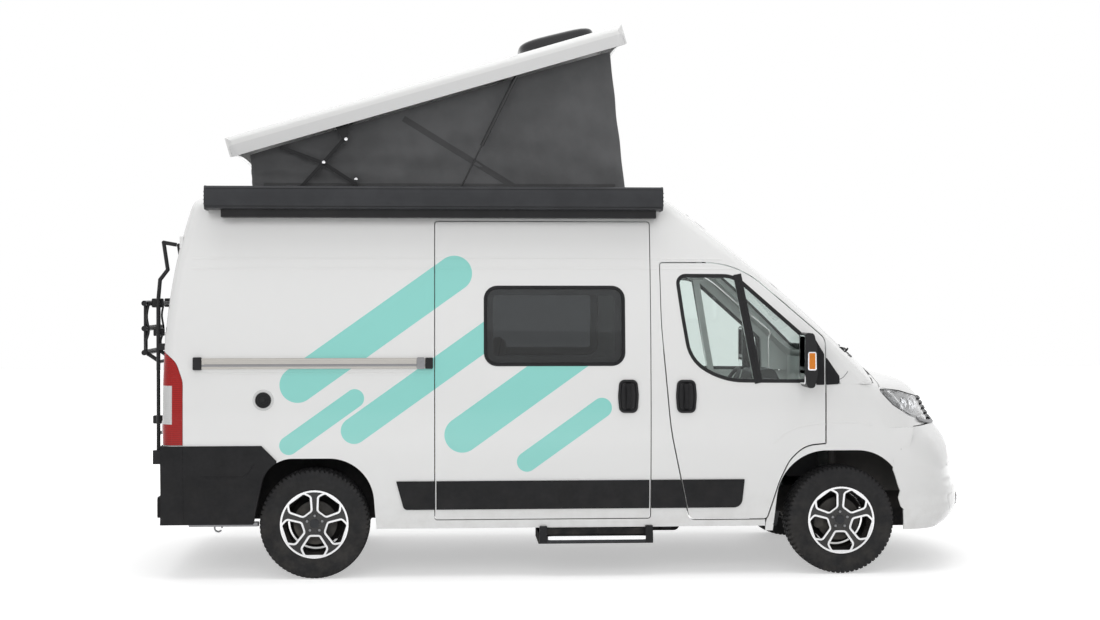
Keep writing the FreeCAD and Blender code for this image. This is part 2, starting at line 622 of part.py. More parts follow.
def glass(body, corners, plane="xz", low=-OUT, high=-500.0, grow=6.0):
    """A pane of the hull's shape that overlaps its opening by a narrow edge."""
    return body.pane.common(prism(plane, low, high, corners, grow))


def pane_seat(corners, plane="xz", low=-OUT, high=-500.0):
    """The rebate that a pane sits in, a little larger than the pane all round."""
    return prism(plane, low, high, corners, 7.0)


def pane_slot():
    """The layer of the skin that panes sit in, with 1 mm to spare each way."""
    return hull(GLASS_INSET - 1).cut(hull(GLASS_INSET + GLASS + 1))


def screen_seat():
    """The windscreen's rebate."""
    return pane_seat(SCREEN_GLASS, "yz", -1500, 600).common(pane_slot())


def door_strip(x_low, x_high, sunk=1.0):
    """The rubbing strip along a side, standing a little out of the skin and sunk a little into it."""
    bar = hull(-9.0).cut(hull(sunk))
    return bar.common(prism("xz", -OUT - 40, -800, STRIP_SIDE)).common(box((x_low, x_high),
                                                                           (-OUT - 40, -800), (400, 700)))


def front_door(body):
    """A front door, as thick as the body's side, with its window opening and dividing post."""
    panel = body.walls.common(side_prism(FRONT_DOOR))
    window = side_prism(FRONT_WINDOW).cut(side_prism(WINDOW_POST))
    seat = pane_seat(FRONT_WINDOW).common(pane_slot())
    strip = door_strip(-1140, -600).common(side_prism(FRONT_DOOR, -2.0))
    return fused(panel.cut(window).cut(seat), strip)


def front_mirror():
    """A tall door mirror on its arm."""
    head = prism("xz", -MIRROR_SPAN / 2, -1062,
                 ((-294, 1598, 24), (-236, 1592, 22), (-216, 1500, 60), (-212, 1330, 40),
                                                 (-232, 1240, 24), (-280, 1240, 24), (-294, 1330, 40)))
    arm_low = prism("xz", -1075, -994, ((-262, 1330, 12), (-205, 1330, 12), (-205, 1288, 12),
                                        (-262, 1288, 12)))
    arm_high = prism("xz", -1075, -985,
                     ((-262, 1520, 12), (-215, 1520, 12), (-215, 1482, 12), (-262, 1482, 12)))
    return fused(head, arm_low, arm_high).cut(hull(0.5))


def sliding_door(body):
    panel = body.walls.common(side_prism(SLIDING_DOOR))
    seat = pane_seat(SLIDING_WINDOW).common(pane_slot())
    strip = door_strip(-2662, -1274)
    return fused(panel.cut(side_prism(SLIDING_WINDOW)).cut(seat), strip)


def rear_prism(corners, grow=0.0):
    """A prism through the tail's right half, seen from the back."""
    right = [(-a, b, r) for a, b, r in corners]
    return prism("yz", TAIL_X - 200, TAIL_X + 500, right, grow)


def rear_cut(x_front=TAIL_X + 330.0):
    """Space that belongs to the tail: the doors are as deep as the wall there."""
    return box((TAIL_X - 300, x_front), (-1200, 1200), (100, 2700))


def rear_door(body):
    """A rear door with its window."""
    tail = body.walls.cut(hull_tail_core())
    panel = tail.common(rear_prism(REAR_DOOR)).common(rear_cut())
    window = rear_prism(REAR_WINDOW)
    seat = rear_prism(REAR_WINDOW, 7.0).common(pane_slot())
    meeting_edge = hull(MEETING_DEPTH).common(box((TAIL_X - 100, TAIL_X + 500), (-MEETING_RELIEF, 0),
                                                  (400, 2400)))
    return panel.cut(window).cut(seat).cut(meeting_edge)


def hull_tail_core():
    """Everything further inside the tail than the doors are thick."""
    core = hull(0.0)
    core.translate(Vector(WALL * 1.03, 0, 0))
    return core.common(box((TAIL_X - 100, TAIL_X + 600), (-905, 905), (SILL_Z, 2330)))


def rear_opening():
    right = rear_prism([(-20, 2322, 0), (868, 2322, 60), (868, 548, 30), (-20, 548, 0)], SHUT_GAP)
    return Part.makeCompound([right, mirrored(right)])


def side_panel(body, sliding):
    """A whole side behind the front door, with its rear corner."""
    region = box((TAIL_X - 100, B_POST_X + 33), (-1200, -650), (SILL_Z - 10, ROOF_SEAM_Z))
    panel = body.walls.common(region)
    panel = panel.cut(side_prism(REAR_ARCH, inner=300))
    panel = panel.cut(side_prism(FRONT_DOOR, SHUT_GAP))
    right_open = rear_prism([(300, 2322, 0), (868, 2322, 60), (868, 548, 30), (300, 548, 0)], SHUT_GAP)
    panel = panel.cut(right_open)
    panel = panel.cut(rear_prism(TAIL_LAMP).common(side_prism(TAIL_LAMP_SIDE, inner=880)))
    panel = panel.cut(rear_bumper_space())
    windows = [] if sliding else [SLIDING_WINDOW, REAR_SIDE_WINDOW]
    if sliding:
        panel = panel.cut(side_prism(SLIDING_DOOR, SHUT_GAP))
    for window in windows:
        seat = pane_seat(window).common(pane_slot())
        panel = panel.cut(side_prism(window)).cut(seat)
    return sound(panel)


def rear_bumper_space():
    """The volume behind and below that the rear bumper and its corner cladding take."""
    corner = prism("xz", -1300, 1300, ((TAIL_X - 200, 868, 0), (-3786, 868, 0), (-3690, 770, 0),
                                       (-3690, 250, 0), (TAIL_X - 200, 250, 0)))
    middle = box((TAIL_X - 200, TAIL_X + 400), (-860, 860), (545, 900))
    return corner.cut(middle)


def rear_bumper(body):
    """Bumper and corner cladding in one moulding, with a step across the middle."""
    shell = hull(-12.0, z_low=300.0).cut(hull(WALL, z_low=270.0))
    space = rear_bumper_space()
    moulding = shell.common(space).common(box((TAIL_X - 300, -3690), (-1300, 1300), (BUMPER_LOW_Z, 866)))
    arch = both(side_prism, REAR_ARCH, inner=300)
    step = prism("yz", TAIL_X - 18, TAIL_X + 60,
                 ((-850, 520, 20), (850, 520, 20), (850, 385, 20), (-850, 385, 20)))
    moulding = moulding.cut(arch).cut(both(rear_prism, REAR_DOOR, SHUT_GAP + 2))
    return fused(moulding, step.cut(hull(WALL, z_low=270.0)))


def roof_panel(body):
    """Roof with the opening of the sleeping roof and the wells of its stays."""
    region = box((TAIL_X - 100, 400), (-1100, 1100), (ROOF_SEAM_Z, ROOF_Z + 50))
    panel = body.walls.common(region)
    opening = prism("xy", 2300, 2600, ((OPENING_X[0], -OPENING_HALF, 90), (OPENING_X[1], -OPENING_HALF, 90),
                                       (OPENING_X[1], OPENING_HALF, 90), (OPENING_X[0], OPENING_HALF, 90)))
    screen = prism("yz", -1500, 400, SCREEN_GLASS)
    panel = panel.cut(opening).cut(screen).cut(screen_seat()).cut(both(side_prism, FRONT_DOOR,
                                                                       SHUT_GAP + 2))
    panel = panel.cut(rear_opening().common(rear_cut()))
    well = box(CHANNEL_X, CHANNEL_Y, (CHANNEL_FLOOR_Z, 2560))
    tray = box((CHANNEL_X[0] - 5, CHANNEL_X[1] + 5), (CHANNEL_Y[0] - 5, CHANNEL_Y[1] + 5),
               (CHANNEL_FLOOR_Z - 5, 2480))
    tray = tray.common(body.outer)
    return fused(panel, tray, mirrored(tray)).cut(well).cut(mirrored(well))


def cab_frame(body):
    """Pillars and screen surround of the cab, its firewall and the sills under the doors."""
    region = box((B_POST_X + 33, FIREWALL_X + 300), (-1200, 1200), (SILL_Z - 10, ROOF_SEAM_Z))
    frame = body.walls.common(region)
    wing_space = prism("xz", -1300, 1300, ((-112, 1262, 0), (500, 1262, 0), (500, 200, 0), (-505, 200, 0),
                                           (-505, 373, 0), *reversed(DOOR_OVER_ARCH)))
    skin = box((-700, 600), (-1300, -900), (100, 1300))
    frame = frame.cut(both(side_prism, FRONT_DOOR, SHUT_GAP + 2))
    frame = frame.cut(wing_space.common(Part.makeCompound([skin, mirrored(skin)])))
    frame = frame.cut(prism("yz", -1500, 600, SCREEN_GLASS)).cut(screen_seat())
    frame = frame.cut(both(side_prism, FRONT_ARCH, 30.0, inner=560))
    frame = frame.cut(nose(-4.0).common(box((90, 1200), (-1300, 1300), (200, 1500))))
    firewall = fused(box((20, 60), (-555, 555), (565, 1380)),
                     box((20, 60), (-880, 880), (CAB_SHOULDER_Z, 1380)))
    return frame.fuse(firewall).removeSplitter()


def front_regions(body):
    """Bonnet, wings, bumper, grille, head lamps and cowl, all cut from one front shell."""
    shell = body.front.cut(both(side_prism, FRONT_DOOR, HINGE_GAP)).cut(both(side_prism, FRONT_ARCH))
    shell = shell.cut(hull(-2.0, z_low=290.0).common(box((-700, 800), (-1300, 1300), (1256, 1700))))
    shell = shell.cut(box((-700, 400), (-1300, 1300), (1436, 1700)))
    behind = prism("xz", -1300, 1300, ((-600, 200, 0), (-600, 1600, 0), (-104, 1600, 0), (-104, 868, 0),
                                       *DOOR_OVER_ARCH[1:], (-500, 340, 0), (-500, 200, 0)))
    shell = shell.cut(behind)
    lamp_top = [(x, z + SHUT_GAP, r) for x, z, r in HEADLAMP_SIDE[:4]]
    above_lamps = prism("xz", -1300, 1300, lamp_top + [(1200, 1700, 0), (200, 1700, 0)])
    bonnet_tool = prism("xy", 1000, 1600, BONNET_PLAN).common(above_lamps)
    bonnet_gap = prism("xy", 1000, 1600, BONNET_PLAN, SHUT_GAP).common(above_lamps)
    bonnet_gap.translate(Vector(0, 0, -SHUT_GAP))
    parts = {"bonnet": shell.common(bonnet_tool)}
    rest = shell.cut(bonnet_gap)
    bumper_tool = prism("xz", -1300, 1300, BUMPER_SIDE)
    parts["front_bumper"] = rest.common(bumper_tool)
    rest = rest.cut(prism("xz", -1300, 1300, BUMPER_SIDE, 3.0))
    lamp_tool = prism("xz", -1300, -GRILLE_HALF - 3, HEADLAMP_SIDE)
    lamp = rest.common(lamp_tool)
    parts["head_lamps"] = lamp.fuse(mirrored(lamp))
    gap = prism("xz", -1300, -GRILLE_HALF, HEADLAMP_SIDE, 2.0)
    rest = rest.cut(gap).cut(mirrored(gap))
    middle = box((300, 1300), (-GRILLE_HALF, GRILLE_HALF), (900, 1150))
    parts["grille"] = rest.common(middle)
    rest = rest.cut(middle)
    cowl = box((-300, 420), (-770, 770), (1300, 1600))
    parts["cowl_panel"] = rest.common(cowl)
    parts["front_wings"] = rest.cut(cowl)
    return {name: sound(shape, 2.0e4) for name, shape in parts.items()}


# ---- fittings on the body ------------------------------------------------------------------------
AWNING_X = (-4144.0, -1190.0)
AWNING_Z = (2384.0, 2540.0)
AWNING_FACE_Y = -1075.0
RAIL_X = (-4219.0, -2685.0)
RAIL_Z = 1398.0
STEP_X = (-1985.0, -1256.0)
STEP_TRAVEL = 190.0


def fixed_glass(body):
    """Windscreen, the sliding door's window and the two windows of the left side."""
    panes = [body.pane.common(prism("yz", -1500, 400, SCREEN_GLASS, 6.0)), glass(body, SLIDING_WINDOW)]
    panes += [mirrored(glass(body, window)) for window in (SLIDING_WINDOW, REAR_SIDE_WINDOW)]
    return Part.makeCompound(panes)


def front_door_glass(body):
    return body.pane.common(prism("xz", -OUT, -500.0, FRONT_WINDOW, 6.0)).cut(side_prism(WINDOW_POST, -2.0))


def rear_window(body):
    return body.pane.common(rear_prism(REAR_WINDOW, 6.0)).common(rear_cut())


def tail_lamps(body):
    """Upright lamps on the rear corners."""
    lamp = body.outer.cut(hull(WALL, z_low=SILL_Z - 30)).common(rear_prism(TAIL_LAMP, -2.0))
    return lamp.common(side_prism(TAIL_LAMP_SIDE, -2.0, inner=880))


def awning_case():
    """The rolled awning in its case along the right-hand roof edge, on a mounting rail."""
    y0, z0, z1 = AWNING_FACE_Y, *AWNING_Z
    case = prism("yz", AWNING_X[0] + 12, AWNING_X[1] - 12,
                 ((y0, z0 + 8, 40), (y0 + 8, z1, 26), (y0 + 150, z1 - 8, 20), (y0 + 150, z0 + 4, 12)))
    caps = [prism("yz", x, x + 12, ((y0 - 3, z0 + 4, 40), (y0 + 4, z1 + 3, 28), (y0 + 153, z1 - 5, 22),
                                    (y0 + 153, z0, 12)))
            for x in (AWNING_X[0], AWNING_X[1] - 12)]
    rail = prism("yz", AWNING_X[0] + 100, AWNING_X[1] - 40,
                 ((y0 + 60, z0 - 44, 4), (y0 + 60, z0 + 12, 4), (y0 + 200, z0 + 12, 4),
                  (y0 + 200, z0 - 44, 4)))
    return fused(case, *caps, rail).cut(hull(0.0))


def door_rail():
    """The sliding door's upper guide on the rear quarter."""
    bar = prism("xz", -1060, -800, ((RAIL_X[0], RAIL_Z - 34, 4), (RAIL_X[1], RAIL_Z - 34, 4),
                                    (RAIL_X[1], RAIL_Z + 34, 4), (RAIL_X[0], RAIL_Z + 34, 4)))
    shell = hull(-13.0).cut(hull(0.0)).common(bar)
    groove = hull(-30.0).cut(hull(-7.0)).common(box((RAIL_X[0] + 70, RAIL_X[1] - 90), (-1100, -800),
                                                    (RAIL_Z - 10, RAIL_Z + 10)))
    return shell.cut(groove)


def side_mouldings():
    """Rubbing strips on the fixed lower sides."""
    strip = door_strip(-2925, -900, sunk=-0.5).cut(side_prism(FRONT_DOOR, SHUT_GAP))
    right = strip.cut(side_prism(SLIDING_DOOR, SHUT_GAP))
    return Part.makeCompound(right.Solids + mirrored(strip).Solids)


def entry_step():
    """The sliding step under the side door, drawn in."""
    tread = prism("xz", -1008, -640, ((STEP_X[0], 226, 8), (STEP_X[1], 226, 8), (STEP_X[1], 262, 8),
                                      (STEP_X[0], 262, 8)))
    lip = prism("xz", -1016, -1000, ((STEP_X[0] - 8, 222, 6), (STEP_X[1] + 8, 222, 6),
                                     (STEP_X[1] + 8, 266, 6), (STEP_X[0] - 8, 266, 6)))
    return fused(tread, lip)


def chassis_rail():
    """The right-hand chassis rail: a channel open inwards, with the tow bar's bolt holes at its rear end."""
    low, high = RAIL_LOW_Z, FLOOR_Z - FLOOR_THICK
    rail = box((RAIL_REAR_X, -120), (-RAIL_Y[1], -RAIL_Y[0]), (low, high))
    rail = rail.cut(box((RAIL_REAR_X, -120), (-RAIL_Y[1] + 8, -RAIL_Y[0] + 10), (low + 10, high - 10)))
    for end in (-1, 1):
        x, y = TOW_BOLTS["x"] + end * TOW_BOLTS["pitch_x"] / 2, -TOW_BOLTS["pitch_y"] / 2
        rail = rail.cut(rod((x, y, low - 10), (x, y, low + 20), TOW_BOLTS["hole_r"]))
    return rail


def step_casing():
    """The open-fronted box that the step slides into, hung from the floor on two straps."""
    casing = box((STEP_X[0] - 12, STEP_X[1] + 12), (-980, -600), (214, 284))
    hollow = box((STEP_X[0] - 6, STEP_X[1] + 6), (-1000, -622), (220, 272))
    beam = prism("xz", -1002, -940, ((STEP_X[0], 274, 6), (STEP_X[1], 274, 6), (STEP_X[1], 316, 6),
                                     (STEP_X[0], 316, 6)))
    straps = [box((x - 15, x + 15), (-930, -620), (280, FLOOR_Z - FLOOR_THICK)) for x in
              (STEP_X[0] + 60, STEP_X[1] - 60)]
    return fused(casing.cut(hollow), beam, *straps)


def floor_pan():
    """Floor with its rails, cross members, wheel houses and the step's casing."""
    inner = hull(WALL + 1, z_low=SILL_Z - 30)
    slab = inner.common(box((TAIL_X + 40, 20), (-1100, 1100), (FLOOR_Z - FLOOR_THICK, FLOOR_Z)))
    slab = slab.cut(both(side_prism, FRONT_ARCH, 40.0, inner=590))
    slab = slab.cut(both(side_prism, FRONT_DOOR, 8.0, inner=945))
    arch = prism("xz", -980, -735, REAR_ARCH, HOUSE_ROOM + HOUSE_WALL)
    inside = prism("xz", -980, -745, REAR_ARCH, HOUSE_ROOM)
    house = arch.common(inner).common(box((-5000, 0), (-1200, 0), (SILL_Z + 40, 900)))
    slab = fused(slab, house, mirrored(house)).cut(inside).cut(mirrored(inside))
    liner = prism("xz", -945, -577, FRONT_ARCH, HOUSE_ROOM + HOUSE_WALL).cut(
        prism("xz", -960, -550, FRONT_ARCH, HOUSE_ROOM))
    liner = liner.common(inner).common(box((-700, 700), (-1200, 0), (SILL_Z + 60, 900)))
    liner = liner.cut(box((-85, 85), (-830, -650), (700, 900))).cut(nose(-4.0).cut(nose(FRONT_SHELL + 6.0)))
    parts = [slab, liner, mirrored(liner), chassis_rail(), mirrored(chassis_rail()), step_casing()]
    for x in (-4200, -2850, -2250, -1350, -650):
        parts.append(box((x - 35, x + 35), (-RAIL_Y[1], RAIL_Y[1]), (FLOOR_Z - 150, FLOOR_Z - FLOOR_THICK)))
    parts.append(box((RAIL_REAR_X, RAIL_REAR_X + 50), (-620, 620),
                     (RAIL_LOW_Z + 10, FLOOR_Z - FLOOR_THICK)))
    return fused(*parts)


# ---- running gear --------------------------------------------------------------------------------
def revolve_y(points, centre_y=0.0):
    """A body of revolution about Y from (radius, y) points with lines between them."""
    wire = Part.makePolygon([Vector(r, y + centre_y, 0) for r, y in points + points[:1]])
    return Part.Face(wire).revolve(Vector(0, 0, 0), Vector(0, 1, 0), 360)


def tyre():
    """A tyre about the origin, outer side towards -Y."""
    half = TYRE_WIDTH / 2
    bead = RIM_R - 12
    corners = ((bead, -half + 24, 0), (RIM_R + 14, -half, 40), (TYRE_R, -half + 6, 34),
               (TYRE_R, half - 6, 34), (RIM_R + 14, half, 40), (bead, half - 24, 0))
    wire = outline("xy", 0, corners)
    return Part.Face(wire).revolve(Vector(0, 0, 0), Vector(0, 1, 0), 360)


def rim():
    """A five-spoke alloy rim about the origin, face towards -Y."""
    half = TYRE_WIDTH / 2
    barrel = revolve_y([(RIM_R - 13, -half + 24), (RIM_R, -half + 10), (RIM_R, -half + 2),
                        (RIM_R - 9, -half + 2), (RIM_R - 20, -half + 26),
                        (RIM_R - 36, -half + 60), (RIM_R - 36, half - 50),
                        (RIM_R - 22, half - 26), (RIM_R - 10,
                                                                                         half - 4),
                        (RIM_R, half - 4), (RIM_R, half - 12), (RIM_R - 13, half - 24)])
    face = revolve_y([(0.0, -half + 42), (66.0, -half + 40), (92.0, -half + 30), (RIM_R - 30, -half + 12),
                      (RIM_R - 12, -half + 8),
                      (RIM_R - 14, -half + 40), (RIM_R - 40, -half + 52), (100.0, -half + 66),
                      (0.0, -half + 72)])
    window = prism("xz", -half - 10, -half + 90,
                   ((-58, RIM_R - 22, 14), (58, RIM_R - 22, 14), (78, 158, 16), (30, 84, 16),
                                              (-30, 84, 16), (-78, 158, 16)))
    for i in range(5):
        cut = window.copy()
        cut.rotate(Vector(0, 0, 0), Vector(0, 1, 0), 72 * i + 36)
        face = face.cut(cut)
    for i in range(5):
        bolt = rod((0, -half - 10, 52), (0, -half + 52, 52), 11.0)
        bolt.rotate(Vector(0, 0, 0), Vector(0, 1, 0), 72 * i)
        face = face.cut(bolt)
    return fused(barrel, face)


def wheel(shape, x, left):
    """A wheel's piece at its corner of the van."""
    result = mirrored(shape) if left else shape.copy()
    result.translate(Vector(x, WHEEL_Y if left else -WHEEL_Y, TYRE_R))
    return result


HUB_FACE_Y = WHEEL_Y + TYRE_WIDTH / 2 - 72.0
KING_PIN_Y = 790.0
FRONT_TRACK_ARM_Z = 250.0


def knuckle():
    """Steering knuckle, brake disc and hub of the right front wheel, with the strut that it turns with."""
    y = -HUB_FACE_Y
    hub = fused(rod((0, y + 0.5, TYRE_R), (0, y + 30, TYRE_R), 70.0),
                rod((0, y + 25, TYRE_R), (0, -KING_PIN_Y + 55, TYRE_R), 45.0))
    disc = rod((0, y + 30, TYRE_R), (0, y + 56, TYRE_R), 142.0)
    upright = box((-30, 30), (-KING_PIN_Y - 10, -KING_PIN_Y + 50), (TYRE_R - 95, TYRE_R + 160))
    strut = rod((0, -KING_PIN_Y + 58, TYRE_R + 130), (0, -KING_PIN_Y + 76, TYRE_R + 560), 27.0)
    arm = box((-150, 0), (-KING_PIN_Y + 10, -KING_PIN_Y + 40), (TYRE_R - 20, TYRE_R + 10))
    caliper = prism("xz", y + 14, y + 72,
                    ((-160, TYRE_R - 60, 20), (-100, TYRE_R - 60, 20), (-100, TYRE_R + 60, 20),
                     (-160, TYRE_R + 60, 20)))
    return fused(hub, disc, upright, strut, arm, caliper)


def front_subframe():
    """Cross member, lower arms and steering rack."""
    beam = box((-120, 160), (-420, 420), (210, 300))
    arms = []
    for side in (-1, 1):
        arms.append(prism("xy", 222, 250,
                          ((-110, side * 380, 10), (-30, side * 745, 24), (30, side * 745, 24),
                           (150, side * 380, 10))))
    rack = rod((-160, -560, 330), (-160, 560, 330), 26.0)
    mounts = [box((-175, -110), (side * 300 - 30, side * 300 + 30), (250, 330)) for side in (-1, 1)]
    posts = [box((60, 140), (side * 380 - 40, side * 380 + 40), (290, 500)) for side in (-1, 1)]
    rails = [box((22, 720), (side * 380 - 40, side * 380 + 40), (460, 560)) for side in (-1, 1)]
    crash = box((700, 760), (-640, 640), (440, 580))
    return fused(beam, *arms, rack, *mounts, *posts, *rails, crash)


def strut_towers():
    """Inner wings with the seats of the front struts."""
    wall = box((22, 640), (-575, -560), (500, 960))
    seat = fused(box((-80, 80), (-800, -560), (930, 946)), wall)
    return pair(seat)


def rear_axle():
    """Dead beam with its hubs and leaf springs."""
    y = HUB_FACE_Y
    beam = rod((REAR_AXLE_X, -y + 56, TYRE_R - 60), (REAR_AXLE_X, y - 56, TYRE_R - 60), 38.0)
    parts = [beam]
    for side in (-1, 1):
        face = side * (y - 0.5)
        parts.append(rod((REAR_AXLE_X, face, TYRE_R), (REAR_AXLE_X, side * (y - 30), TYRE_R), 70.0))
        parts.append(rod((REAR_AXLE_X, side * (y - 28), TYRE_R), (REAR_AXLE_X, side * (y - 52), TYRE_R),
                         142.0))
        parts.append(rod((REAR_AXLE_X, side * (y - 50), TYRE_R), (REAR_AXLE_X, side * (y - 130), TYRE_R),
                         48.0))
        parts.append(box((REAR_AXLE_X - 50, REAR_AXLE_X + 50), (side * 640 - 45, side * 640 + 45),
                         (TYRE_R - 25, TYRE_R - 9)))
        middle, ends = TYRE_R - 5, TYRE_R + 52
        for drop, half_length in ((0, 700), (12, 460)):
            upper = Part.Arc(Vector(REAR_AXLE_X - half_length, 0, ends - (700 - half_length) * 0.06 - drop),
                             Vector(REAR_AXLE_X, 0, middle - drop),
                             Vector(REAR_AXLE_X + half_length, 0,
                                    ends - (700 - half_length) * 0.06 - drop)).toShape()
            lower = upper.copy()
            lower.translate(Vector(0, 0, -12))
            ends_join = [Part.makeLine(upper.Vertexes[i].Point, lower.Vertexes[i].Point) for i in (0, 1)]
            leaf = Part.Face(Part.Wire(Part.__sortEdges__([upper, lower] + ends_join)))
            leaf = leaf.extrude(Vector(0, 70, 0))
            leaf.translate(Vector(0, side * 640 - 35, 0))
            parts.append(leaf)
        for end in (-1, 1):
            parts.append(box((REAR_AXLE_X + end * 690 - 25, REAR_AXLE_X + end * 690 + 25),
                             (min(side * 560, side * 680), max(side * 560, side * 680)),
                             (TYRE_R + 30, TYRE_R + 62)))
    return fused(*parts)


def engine_block():
    """Engine and gearbox as one plain block."""
    return prism("xz", -330, 330, ((90, 420, 40), (610, 420, 60), (610, 900, 60), (430, 1080, 60),
                                   (90, 1080, 40)))


def fuel_tank():
    return prism("xz", -470, 330, ((-1900, 225, 40), (-1000, 225, 40), (-1000, 390, 30), (-1900, 390, 30)))


def exhaust():
    """Pipe and silencer under the left side."""
    y, z = 380.0, 300.0
    stretches = ((-220, -2500, 28.0), (-2480, -2980, 80.0), (-2970, -3180, 28.0))
    return fused(*[rod((start, y, z), (end, y, z), radius) for start, end, radius in stretches])


# ---- inside --------------------------------------------------------------------------------------
def dashboard():
    """Dashboard with its binnacle, and the steering wheel on its column as a separate solid."""
    top = prism("xz", -880, 880, ((-60, 600, 30), (-60, 1190, 40), (-330, 1235, 90), (-400, 1130, 70),
                                  (-300, 960, 90), (-300, 600, 40)))
    binnacle = prism("xz", 260, 660, ((-150, 1200, 30), (-200, 1300, 40), (-360, 1290, 30),
                                      (-400, 1140, 30)))
    board = fused(top, binnacle)
    for side in (-1, 1):
        board = board.cut(box((-600, 100), (side * 555 if side > 0 else -1000, 1000 if side > 0 else -555),
                              (500, CAB_SHOULDER_Z)))
    ring = Part.Face(outline("xz", 0, ((170, -13, 9), (200, -13, 9), (200, 13, 9), (170, 13, 9))))
    ring = ring.revolve(Vector(0, 0, 0), Vector(0, 0, 1), 360)
    boss = Part.makeCylinder(60.0, 40.0, Vector(0, 0, -30))
    spokes = [Part.makeBox(360, 26, 12, Vector(-180, -13, -14)),
              Part.makeBox(26, 180, 12, Vector(-13, -180, -14))]
    helm = fused(ring, boss, *spokes)
    helm.rotate(Vector(0, 0, 0), Vector(0, 1, 0), -62)
    helm.translate(Vector(-520, 460, 1130))
    column = rod((-490, 460, 1114), (-412, 460, 1072), 22.0)
    return Part.makeCompound([board.cut(column.copy()), fused(helm, column)])


SEATS = ((-1110.0, -460.0), (-1110.0, 460.0))    # back of each cab seat's cushion, and its middle


def seat_shape(x, y, width, depth, seat_z, back_high):
    """One seat: a cushion and a leaning back as a single soft solid with a head restraint."""
    cushion = prism("xz", y - width / 2, y + width / 2,
                    ((x + 60, seat_z - 120, 40), (x + depth, seat_z - 110, 50),
                     (x + depth + 20, seat_z + 20, 55), (x + 60, seat_z, 40)))
    back = prism("xz", y - width / 2, y + width / 2,
                 ((x - 20, seat_z - 110, 40), (x + 105, seat_z - 110, 40), (x - 40, seat_z + back_high, 50),
                  (x - 150, seat_z + back_high, 50)))
    head = prism("xz", y - 130, y + 130,
                 ((x - 160, seat_z + back_high + 40, 25), (x - 65, seat_z + back_high + 40, 25),
                                        (x - 90, seat_z + back_high + 210, 40),
                                        (x - 165, seat_z + back_high + 210, 40)))
    posts = [rod((x - 100, y + d, seat_z + back_high - 20), (x - 115, y + d, seat_z + back_high + 60),
                 7) for d in (-60, 60)]
    return fused(cushion, back, head, *posts)


def cab_seats():
    return Part.makeCompound([seat_shape(x, y, 520.0, 520.0, 900.0, 560.0) for x, y in SEATS])


def bench_seat():
    """The travelling bench behind the cab, on the left."""
    return seat_shape(-2230.0, 430.0, 860.0, 470.0, 960.0, 560.0)


def seat_frames():
    """Pedestals of the cab seats and the box of the bench."""
    boxes = [box((x + 40, x + 480), (y - 200, y + 200), (FLOOR_Z, 779)) for x, y in SEATS]
    boxes.append(box((-2250, -1800), (20, 840), (FLOOR_Z, 839)))
    return Part.makeCompound(boxes)


def kitchen_unit():
    """Cupboard with a worktop beside the side door, behind the bench."""
    body = box((-2990, -2400), (330, 900), (FLOOR_Z, 1390))
    top = box((-3000, -2380), (310, 900), (1390, 1420))
    return fused(body, top)


def bed_base():
    return fused(box((-4380, -3130), (-720, 720), (1010, 1040)),
                 box((-3170, -3130), (-720, 720), (FLOOR_Z, 1040)),
                 box((-4380, -4340), (-720, 720), (FLOOR_Z, 1040)))


def mattress():
    return prism("xy", 1041, 1150, ((-4370, -715, 60), (-3140, -715, 60), (-3140, 715, 60),
                                    (-4370, 715, 60)))


# ---- what rides on the doors ---------------------------------------------------------------------
def bar_through(points, radius):
    """A round bar through points, with a ball at each bend."""
    parts = [rod(start, end, radius) for start, end in zip(points, points[1:])]
    return parts + [Part.makeSphere(radius + 0.5, Vector(*point)) for point in points[1:-1]]


def bike_carrier():
    """Folded cycle carrier on the right rear door: two hooked posts, cross tubes and a folded tray."""
    y_low, y_high = -780.0, -150.0
    x_post = TAIL_X - CARRIER_POST
    x_tray = TAIL_X - CARRIER_REACH + TRAY_TUBE_R
    parts = []
    for y in (y_low, y_high):
        post = [(x_post, y, 790), (x_post, y, 1807), (x_post + 12, y, 1939), (x_post + 62, y, 2005),
                (x_post + 36, y, 2183), (x_post + 120, y, 2168)]
        parts += bar_through(post, POST_R)
        parts.append(box((x_post - 34, TAIL_X + 60), (y - 22, y + 22), (732, 822)))
        parts.append(box((x_post, TAIL_X + 60), (y - 20, y + 20), (1478, 1522)))
    parts += [rod((x_post, y_low, z), (x_post, y_high, z), 11.0) for z in (930.0, 1400.0, 1785.0)]
    tray = [rod((x_tray, y, 1462), (x_tray, y, 1785), POST_R) for y in (y_low + 60, y_high - 60)]
    tray += [rod((x_tray, y_low, z), (x_tray, y_high, z), TRAY_TUBE_R) for z in (1462.0, 1620.0, 1785.0)]
    tray += [rod((x_post, y, z), (x_tray, y, z + rise), POST_R)
             for y in (y_low + 60, y_high - 60) for z, rise in ((1400.0, 62.0), (1785.0, 0.0))]
    return fused(*parts, *tray).cut(hull(0.0))


